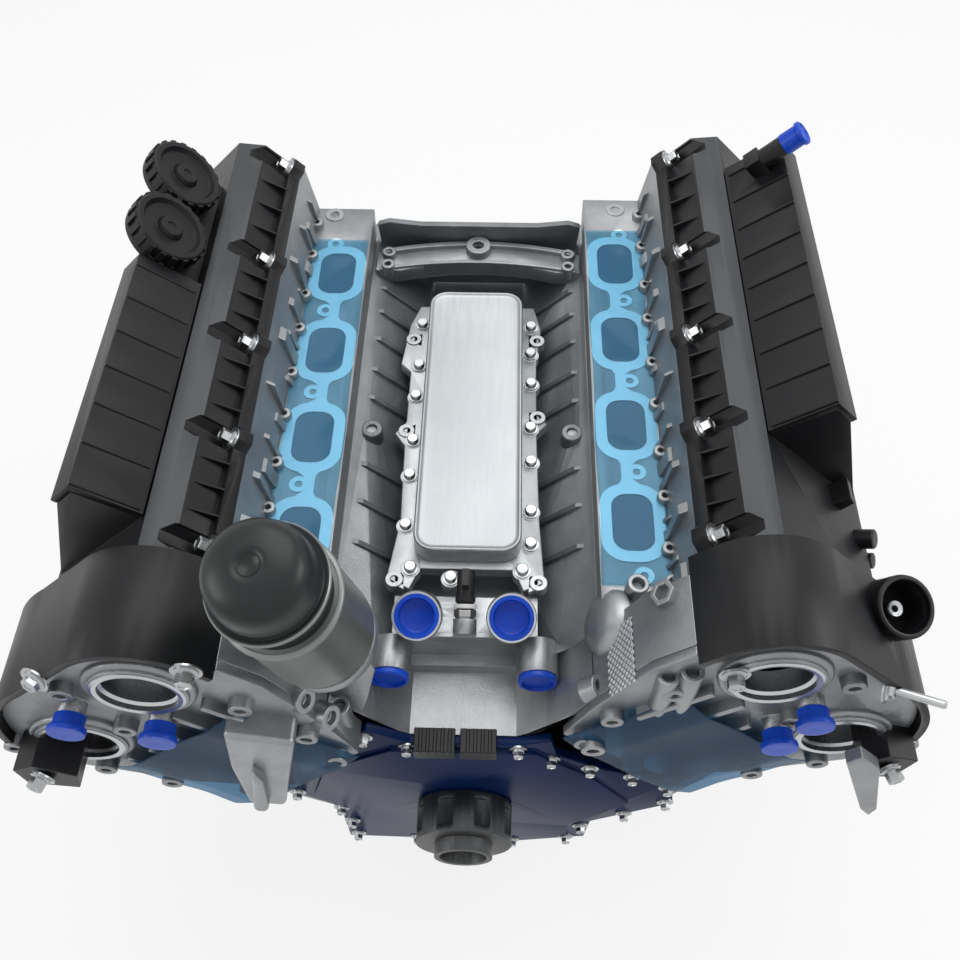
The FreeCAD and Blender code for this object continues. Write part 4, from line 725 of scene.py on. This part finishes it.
# The net of sealing wire, pressed on beside the bulge: two sets of crossing wires stand up
# from a sheet of 52 by 34 mm where the larger of two cosines comes near one.
NET_CENTRE = np.array((118.5, -527, 255))
NET_UPHILL, NET_ALONG = np.array((0.447, 0, 0.894)), np.array((0, 1, 0))
NET_TURN = 0.55
u, v = np.meshgrid(np.linspace(-26, 26, 105), np.linspace(-17, 17, 69), indexing="ij")
wires = np.maximum(np.abs(np.cos((u + v) * NET_TURN)), np.abs(np.cos((u - v) * NET_TURN))) ** 8
points = (NET_CENTRE + v[..., None] * NET_UPHILL + u[..., None] * NET_ALONG
          + (0.2 + 1.3 * wires[..., None]) * slope)
thin_sheet("sealing_net", points, plate_metal, 0.5)

# The screws of the cooler plate, plated steel with a round socket in the head, their raised
# seats, and the round ears that stand out beside the plate on short arms.
SCREW_PLACES = (
    (-53.7, -138.7), (-54.1, -193.6), (-54.7, -232.3), (-54.3, -285.2), (-54.8, -324.6),
    (-54.8, -377.9), (-48.1, -420.7), (-13.3, -429.6), (55.0, -140.4), (54.4, -176.4),
    (54.8, -214.8), (54.2, -268.6), (54.6, -307.6), (54.4, -361.3), (54.1, -394.8),
    (47.0, -421.3))
EAR_PLACES = (
    (-61.3, -158.1), (60.9, -158.0), (-61.0, -273.2), (60.9, -255.1), (-61.0, -431.5),
    (60.7, -432.4))
PLATE_TOP = 195.0
EAR_INSET = 0.86
screws = []
for x, y in SCREW_PLACES:
    screws.append(turned_part([(0.1, 0), (6.6, 0), (6.6, 1.4), (5.2, 1.6), (5.2, 5.2), (4.4, 6),
                               (2.9, 6)], 24, (x, y, PLATE_TOP), (0, 0, 1)))
    screws.append(turned_part([(2.9, 0), (2.9, 6.1), (4.3, 6.1), (4.3, 0)], 12,
                              (x, y, PLATE_TOP), (0, 0, 1), ring=True))
make("cooler_plate_screws", joined(screws), plated, crease=30)
seats = []
for x, y in SCREW_PLACES:
    seats.append(turned_part([(0.1, -10), (8.6, -10), (8.6, 0.3), (0.1, 0.3)], 28,
                             (x, y, PLATE_TOP), (0, 0, 1)))
for x, y in EAR_PLACES:
    seats.append(turned_part([(3.3, -9), (3.3, 1.5), (7.6, 1.5), (7.6, -9)], 28,
                             (x, y, PLATE_TOP), (0, 0, 1), ring=True))
    inward = x * EAR_INSET
    arm = [(x, y - 5), (inward, y - 9), (inward, y + 9), (x, y + 5)]
    seats.append(slab(arm, PLATE_TOP - 8, PLATE_TOP, 2))
make("cooler_plate_ears", joined(seats), plate_metal, edge=0.6)

# The coolant outlets at the front of the valley: one casting with two leaning branches, each
# with a turned rim, and between them the temperature sensor in its boss.
OUTLET_AXIS = (0.0, -0.5, 0.866)
OUTLET_FEET = [(side * 38, -460, 188) for side in (-1, 1)]
SENSOR_SEAT, SENSOR_AXIS = (0, -478, 190), (0, 0.891, 0.454)
dressed("coolant_outlet", plate_metal, 1.2)
rims = [turned_part([(16.8, 20), (16.8, 35), (18, 36), (19.6, 36), (20.4, 34), (20.4, 20)], 48,
                    foot, OUTLET_AXIS, ring=True) for foot in OUTLET_FEET]
make("outlet_rims", joined(rims), milled, crease=30)
# Glass-filled polymer: black, with a wide soft highlight.
black_polymer = coated("moulded_black_polymer", "#17181a", 0.42, 0.8, 0.1)
# Nickel plate: a slightly warm grey on the hexagon.
sensor_steel = turned_metal("nickel_plated_brass", "#b9bab8", "#8d8e8c", 0.3, 0.5)
make("sensor_socket", turned_part([(0.1, 8), (8, 8), (8, 13), (9.4, 14), (9.4, 19), (7.6, 20),
                                   (0.1, 20)], 6, SENSOR_SEAT, SENSOR_AXIS),
     sensor_steel, edge=0.5)
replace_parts(make("sensor_plug", joined([
    turned_part([(0.1, 18), (7.2, 18), (7.2, 25), (8.4, 26), (8.4, 30), (7.4, 31), (7.4, 50),
                 (6.6, 52), (0.1, 52)], 32, SENSOR_SEAT, SENSOR_AXIS),
    slab([(-3, -450), (3, -450), (3, -434), (-3, -434)], 214, 221, 2)]), black_polymer,
    edge=0.4), "valley_sensor")
# Silicone: a thin white line between the plug and its hexagon.
white_rubber = coated("white_silicone_seal", "#e8e8e4", 0.5, 0.8)
make("sensor_seal", turned_part([(7.2, 20.5), (7.2, 23.5), (9.2, 24), (9.8, 22.2),
                                 (9.2, 20.5)], 32, SENSOR_SEAT, SENSOR_AXIS, ring=True),
     white_rubber, crease=60)

# The oil filter at the left front: a drawn housing in a grey satin coat with a rolled lip,
# and the black screw cap with its bead, a low dome and a dimple in the middle.
FILTER_SEAT = (-95, -541, 310)
FILTER_AXIS = (-0.1144, -0.2114, 0.9707)
FILTER_TURNS = 128
# Satin paint on drawn steel: a greenish mid grey with one long soft highlight down the side.
filter_grey = coated("grey_satin_housing", "#6b6e6a", 0.36, 1.2, 0.06, 0.45)
# Moulded cap: black with a faint green, and a broad sheen over the dome.
filter_black = coated("black_satin_cap", "#1f2223", 0.34, 0.8, 0.06)
# The rims in pale grey, drawn as two thin bright lines: a painted highlight.
filter_rim_painted_highlight = coated("painted_highlight_grey_edge", "#8b8f8d", 0.34, 1.0, 0.04, 0.4)
housing = [(0.1, 0), (33, 0), (36.5, 2), (39, 7), (39.5, 12), (38.6, 88), (39.6, 90),
           (39.9, 92.5), (39.4, 95), (37.6, 96), (0.1, 96)]
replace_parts(make("filter_housing", turned_part(housing, FILTER_TURNS, FILTER_SEAT, FILTER_AXIS),
                 filter_grey, crease=50), "oil_filter_housing")
cap_shape = [(0.1, 96), (34, 96), (34, 115), (35.6, 116.2), (37.6, 117.4), (38.4, 119.6),
             (38.4, 121.8), (37.2, 123.6), (35.4, 123.4), (34.2, 124.8), (33.8, 132), (33, 141),
             (31, 147), (27.5, 151.2), (21, 154.2), (12, 155.8), (8.2, 155.8), (7.2, 154.8),
             (5.8, 153.4), (0.1, 153)]
cap_rim = [(36.6, 118.6), (38.6, 119.2), (39, 120.8), (38.6, 122.2), (37, 123)]
lip_rim = [(37, 94), (39.9, 93.6), (40.2, 95.2), (39, 96.8), (37, 96.8)]
# Pale rings on the cap's bead and the housing's lip: painted highlight.
make("filter_painted_highlight_rims", joined([turned_part(rim, FILTER_TURNS, FILTER_SEAT, FILTER_AXIS, ring=True)
                             for rim in (cap_rim, lip_rim)]),
     filter_rim_painted_highlight, crease=60)
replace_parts(make("filter_cap", turned_part(cap_shape, FILTER_TURNS, FILTER_SEAT, FILTER_AXIS),
                 filter_black, crease=50), "oil_filter_cap")
leg = [(-177, 100), (-147, 94), (-140, 130), (-118, 236), (-168, 250), (-176, 180)]
gusset = [(-170, 110), (-158, 106), (-150, 176), (-156, 196)]
make("filter_bracket_leg", joined([slab(leg, -593, -545, 1), slab(gusset, -603, -590, 1)]),
     bright_casting, edge=6.0, steps=4)

# The cam covers, moulded in black polymer with a fine mould grain: rail, gusseted wall, the
# spine in a paler grey, a painted highlight where the light falls along it, and the ribbed
# lids of the oil separators. Plated screws hold them, and the right one carries the neck of
# the oil filler.
SPINE_NEAR, SPINE_FAR, SPINE_LOW, SPINE_HIGH = -70, -88, 376, 400
COVER_BOLTS = (25, 155, 255, 355, 455)
NECK_AXIS = Vector((0.2503, -0.351, 0.9023))
NECK_MOUTH = Vector((315.9, -506.0, 303.1))
NECK_REACH, SKIN_DEEP = 24, 0.1
# Grained polymer: black with a soft grey bloom where the light falls along it.
cover_black = coated("grained_black_polymer", "#131416", 0.4, 0.9, 0.16, shine=0.26)
# The same polymer on the spine in a dark grey with a satin gloss: a painted highlight.
spine_painted_highlight = coated("painted_highlight_grey_polymer", "#3a3c3f", 0.34, 0.9, 0.1, shine=0.34)


def banked(points, side):
    """Bank points (outward, station, height) leaned 45 degrees, mirrored on the left.

    Across is (height + outward) / root 2 and up is (height - outward) / root 2.
    """
    outward, station, height = np.moveaxis(np.asarray(points, float), -1, 0)
    across = (height + outward) / np.sqrt(2)
    above = (height - outward) / np.sqrt(2)
    return np.stack((side * across, -(station + stagger(side)), above), -1)


def bank_up(side):
    """The world direction up along the cylinders of a bank, 45 degrees to its side."""
    return side / np.sqrt(2), 0, 1 / np.sqrt(2)


def open_mouth(work):
    """Takes the skin off the filler neck: the two discs go, and their rims are joined."""
    def in_mouth(corner):
        away = corner.co / MM - NECK_MOUTH
        return away.length < NECK_REACH and abs(away.dot(NECK_AXIS)) < SKIN_DEEP

    lids = [face for face in work.faces if all(in_mouth(corner) for corner in face.verts)]
    bmesh.ops.delete(work, geom=lids, context="FACES")
    rims = [border for border in work.edges
            if border.is_boundary and all(in_mouth(corner) for corner in border.verts)]
    bmesh.ops.bridge_loops(work, edges=rims)


for bank, side, front_bolt in (("right", 1, (189, -560, 303)), ("left", -1, (-177, -579, 330))):
    cover = dressed("cam_cover_" + bank, cover_black, 1.2, limit=24,
                    repair=open_mouth if side > 0 else None)

    def on_spine(at, side=side):
        """Faces of the band between the gusseted wall and the separators' lids."""
        outward = (side * at[0] - at[2]) / np.sqrt(2)
        height = (side * at[0] + at[2]) / np.sqrt(2)
        return ((outward < SPINE_NEAR) & (outward > SPINE_FAR)
                & (height > SPINE_LOW) & (height < SPINE_HIGH))

    # The band along the spine is painted a paler grey: a painted highlight.
    painted_where(cover, spine_painted_highlight, on_spine)
    dressed("breather_box_" + bank, cover_black, 0.8)
    bolts = [hex_screw(banked((-89, station, 350), side), bank_up(side), 10.5, 8, 8)
             for station in COVER_BOLTS]
    bolts.append(hex_screw(front_bolt, (0, -1, 0), 11, 9, 8.5))
    make("cover_bolts_" + bank, joined(bolts), plated, crease=25)

# The inside of the oil filler's neck: a black floor, a milled ring that stands on it, and the
# rolled lip round the mouth.
make("filler_floor", turned_part([(0.1, -30), (19.4, -30), (19.4, -26), (0.1, -24)], 40,
                                 NECK_MOUTH, NECK_AXIS), cover_black)
make("filler_ring", turned_part([(2.6, -25), (2.6, -12), (5.6, -11), (6.4, -12), (6.4, -25)], 32,
                                NECK_MOUTH, NECK_AXIS, ring=True), milled)
make("filler_lip", turned_part([(19.4, -3), (19.4, 1.4), (21, 2), (22.6, 1.4), (23.2, -1),
                                (23.2, -6)], 64, NECK_MOUTH, NECK_AXIS, ring=True),
     cover_black, crease=60)

# The two pressure valves at the rear of the left cover: round lids with clips on the rim, a
# dished ring and a raised knob in the middle.
VALVE_AXIS = np.array((0.7071, 0, 0.7071))
VALVE_SIDES = np.array((0, 1, 0)), np.array((-0.7071, 0, 0.7071))
VALVE_CLIPS = 20
CLIP_FACES = [[0, 1, 2, 3], [4, 5, 6, 7], [0, 1, 5, 4], [1, 2, 6, 5], [2, 3, 7, 6], [3, 0, 4, 7]]
lid = [(0.1, 0), (33, 0), (33, 5), (31.6, 6), (31.6, 14), (32.6, 15), (32.6, 19), (31, 20.5),
       (27, 20.5), (25.5, 18), (24, 16), (12, 15), (10.6, 18), (9, 20), (4, 20), (3.4, 18.6),
       (0.1, 18.4)]
valves = []
for station in (101, 170):
    seat = banked((-58, station, 438), -1)
    valves.append(turned_part(lid, 72, seat, VALVE_AXIS))
    for turn in np.arange(VALVE_CLIPS) / VALVE_CLIPS * 2 * np.pi:
        spoke = np.cos(turn) * VALVE_SIDES[0] + np.sin(turn) * VALVE_SIDES[1]
        cross = np.cross(VALVE_AXIS, spoke)
        corners = [seat + r * spoke + w * cross + h * VALVE_AXIS
                   for h in (5, 19) for r, w in ((30, -2.6), (34.2, -2.6), (34.2, 2.6), (30, 2.6))]
        valves.append((np.array(corners), CLIP_FACES))
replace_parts(make("pressure_valves", joined(valves), cover_black, crease=30,
                 edge=0.5), "breather_valves")

# The timing covers: turned rings in the two openings, ribs and screw bosses on the plates,
# the chain guides behind them, and the blue film that still wraps their lower halves.
# Places are outward and up in the bank, and a rib's are outward, lowest and highest.
CAM_BORES = ((-48, 360), (70, 341))
COVER_RIBS = ((-62, 250, 318), (-30, 214, 322), (4, 196, 305), (40, 208, 300), (70, 232, 302))
COVER_BOSSES = ((-78, 296), (-70, 232), (-48, 186), (16, 184), (62, 192), (96, 246), (108, 300),
                (20, 332), (-6, 396), (118, 372))
bores = [turned_part([(26, -14), (26, 2), (28, 4), (28, 7.8), (31, 8.6), (33, 7.6), (33, 0),
                      (29, -14)], 72, banked((u, COVER_FACE, a), side), (0, -1, 0), ring=True)
         for side in (1, -1) for u, a in CAM_BORES]
make("cam_bore_rings", joined(bores), milled, crease=30)
# The wrapping film is the same plastic, slack and folded: darker, and its gloss breaks up.
wrap = film_sheet("wrinkled_blue_film", "#86b3cc", "#2c6287", 0.72)
for bank, side in (("right", 1), ("left", -1)):
    parts = []
    for u, low, high in COVER_RIBS:
        outline = [(u - 2.5, low), (u + 2.5, low), (u + 2.5, high), (u - 2.5, high)]
        points, faces = slab(outline, COVER_FACE - 2, COVER_FACE + 9, 1)
        parts.append((banked(points, side), faces))
    for u, a in COVER_BOSSES:
        parts.append(turned_part([(0.1, -2), (9.5, -2), (8.8, 9), (4.2, 9), (4.2, 4), (0.1, 4)],
                                 28, banked((u, COVER_FACE, a), side), (0, -1, 0)))
    for u, a in CAM_BORES:
        parts.append(turned_part([(34, -2), (34, 5), (38, 5), (40, 3), (40, -2)], 64,
                                 banked((u, COVER_FACE, a), side), (0, -1, 0), ring=True))
    make("timing_cover_ribs_" + bank, joined(parts), blasted, edge=1.2)

    # The film's distance ahead of the cover over (u, a): crossing folds, and ends that turn
    # back towards the cover by a power of their distance past the middle.
    u, a = np.meshgrid(np.linspace(-66, 104, 60), np.linspace(178, 296, 40), indexing="ij")
    folds = (1.6 * np.sin(u / 23 + a / 61) * np.sin(a / 37 - u / 50)
             + 0.5 * np.sin((u + 3 * a) / 31))
    ends = 22 * np.maximum(0, np.abs(u - 19) / 85 - 0.62) ** 1.2
    ahead = COVER_FACE + 12 + folds - ends
    thin_sheet("wrap_film_" + bank, banked(np.stack((u, ahead, a), -1), side), wrap,
               FILM_WALL)
# Guide polymer: a brownish black, seen only through the two openings.
guide_plastic = coated("dark_guide_polymer", "#2a2a28", 0.45, 1.0)
for bank in ("right", "left"):
    finish_node("chain_guides_" + bank, guide_plastic)

# Round the front: black lugs and spouts of the covers, two ribbed blocks of black polymer on
# the edge of the lower cover, plated screws and a stud, and a cast wiring bracket.
STUD_AXIS = (0.8, -0.45, 0.35)
SPOUT_AXIS = (0.8, -0.3, 0.5)
lugs = [slab([(308, 160), (338, 160), (346, 196), (322, 204), (308, 190)], -579, -540, 1),
        slab([(-334, 168), (-296, 160), (-290, 186), (-318, 206), (-336, 196)], -603, -560, 1),
        turned_part([(0.1, -14), (8, -14), (8, 12), (6.5, 13), (0.1, 13)], 32,
                    banked((50, 414, 398), 1), SPOUT_AXIS),
        turned_part([(0.1, -14), (6.5, -14), (6.5, 9), (0.1, 10)], 32,
                    banked((66, 424, 390), 1), SPOUT_AXIS),
        slab([(-40, 126), (-6, 126), (-6, 142), (-40, 142)], -561, -540, 1),
        slab([(-2, 126), (28, 126), (28, 142), (-2, 142)], -561, -540, 1)]
for x in (-36, -30, -24, -18, -12, 3, 9, 15, 21):
    lugs.append(slab([(x, 140), (x + 3, 140), (x + 3, 144), (x, 144)], -562, -541, 1))
points, faces = slab([(16, 394), (30, 394), (28, 410), (19, 412)], 376, 396, 1)
lugs.append((banked(points, 1), faces))
make("front_lugs", joined(lugs), black_polymer, edge=4.0, steps=3)
fixings = [hex_screw((329, -579, 181), (0.3, -0.95, 0), 11, 9, 8.5),
           hex_screw((-317, -603, 186), (-0.3, -0.95, 0), 11, 9, 8.5),
           hex_screw((299, -558, 280), STUD_AXIS, 11, 4, 8.5),
           hex_screw((-286, -577, 306), (-0.35, -0.9, 0.2), 11, 5, 8.5),
           turned_part([(0.1, 0), (3, 0), (3, 34), (2.2, 35.5), (0.1, 35.5)], 24,
                       (303, -560, 282), STUD_AXIS)]
make("front_fixings", joined(fixings), plated, crease=25)
bracket = [(286, 211), (294, 224), (314, 200), (340, 108), (338, 92), (327, 107)]
make("wiring_bracket", slab(bracket, -588, -578, 1), blasted, edge=1.0)

# The bright blue transit caps: open cups in the two outlets, dished discs in the forward
# ports, caps with a wide front flange on the stubs, and one on the breather pipe.
# Polyethylene: a saturated blue that glows in the light, with waxy, soft highlights.
cap_blue = coated("bright_blue_polyethylene", "#0f49c4", 0.34, 2.0, 0.05)
STUB_FRONT = 564
# Each stub's side, and its place outward and up in the bank.
STUBS = ((1, 2, 358), (1, 21, 317), (-1, 15, 377), (-1, -19, 324))
caps = []
for side, foot in zip((-1, 1), OUTLET_FEET):
    caps.append(turned_part([(0.1, 26.2), (16.6, 26.2), (16.6, 36.5), (18, 37), (18, 38),
                             (14.8, 38), (14.2, 36), (13.6, 29), (12, 28), (0.1, 28)], 48,
                            foot, OUTLET_AXIS))
    caps.append(turned_part([(0.1, 0), (15.8, 0), (16.2, 4), (15, 5.2), (13.2, 5.2), (12.4, 2.6),
                             (0.1, 2.2)], 40, (side * 60, -511, 179), (0, -1, 0)))
for side, u, a in STUBS:
    caps.append(turned_part([(0.1, 0), (11.4, 0), (11.2, 8), (13.6, 9), (14, 11), (13.4, 13.6),
                             (10, 14), (0.1, 13)], 40, banked((u, STUB_FRONT, a), side),
                            (0, -1, 0)))
caps.append(turned_part([(0.1, 0), (9.8, 0), (9.6, 15), (11, 16), (11, 19), (9.4, 20), (8, 18.6),
                         (0.1, 18)], 36, banked((-75, 88, 460), 1), bank_up(1)))
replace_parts(make("transit_caps_blue", joined(caps), cap_blue, crease=40),
            "transit_caps")
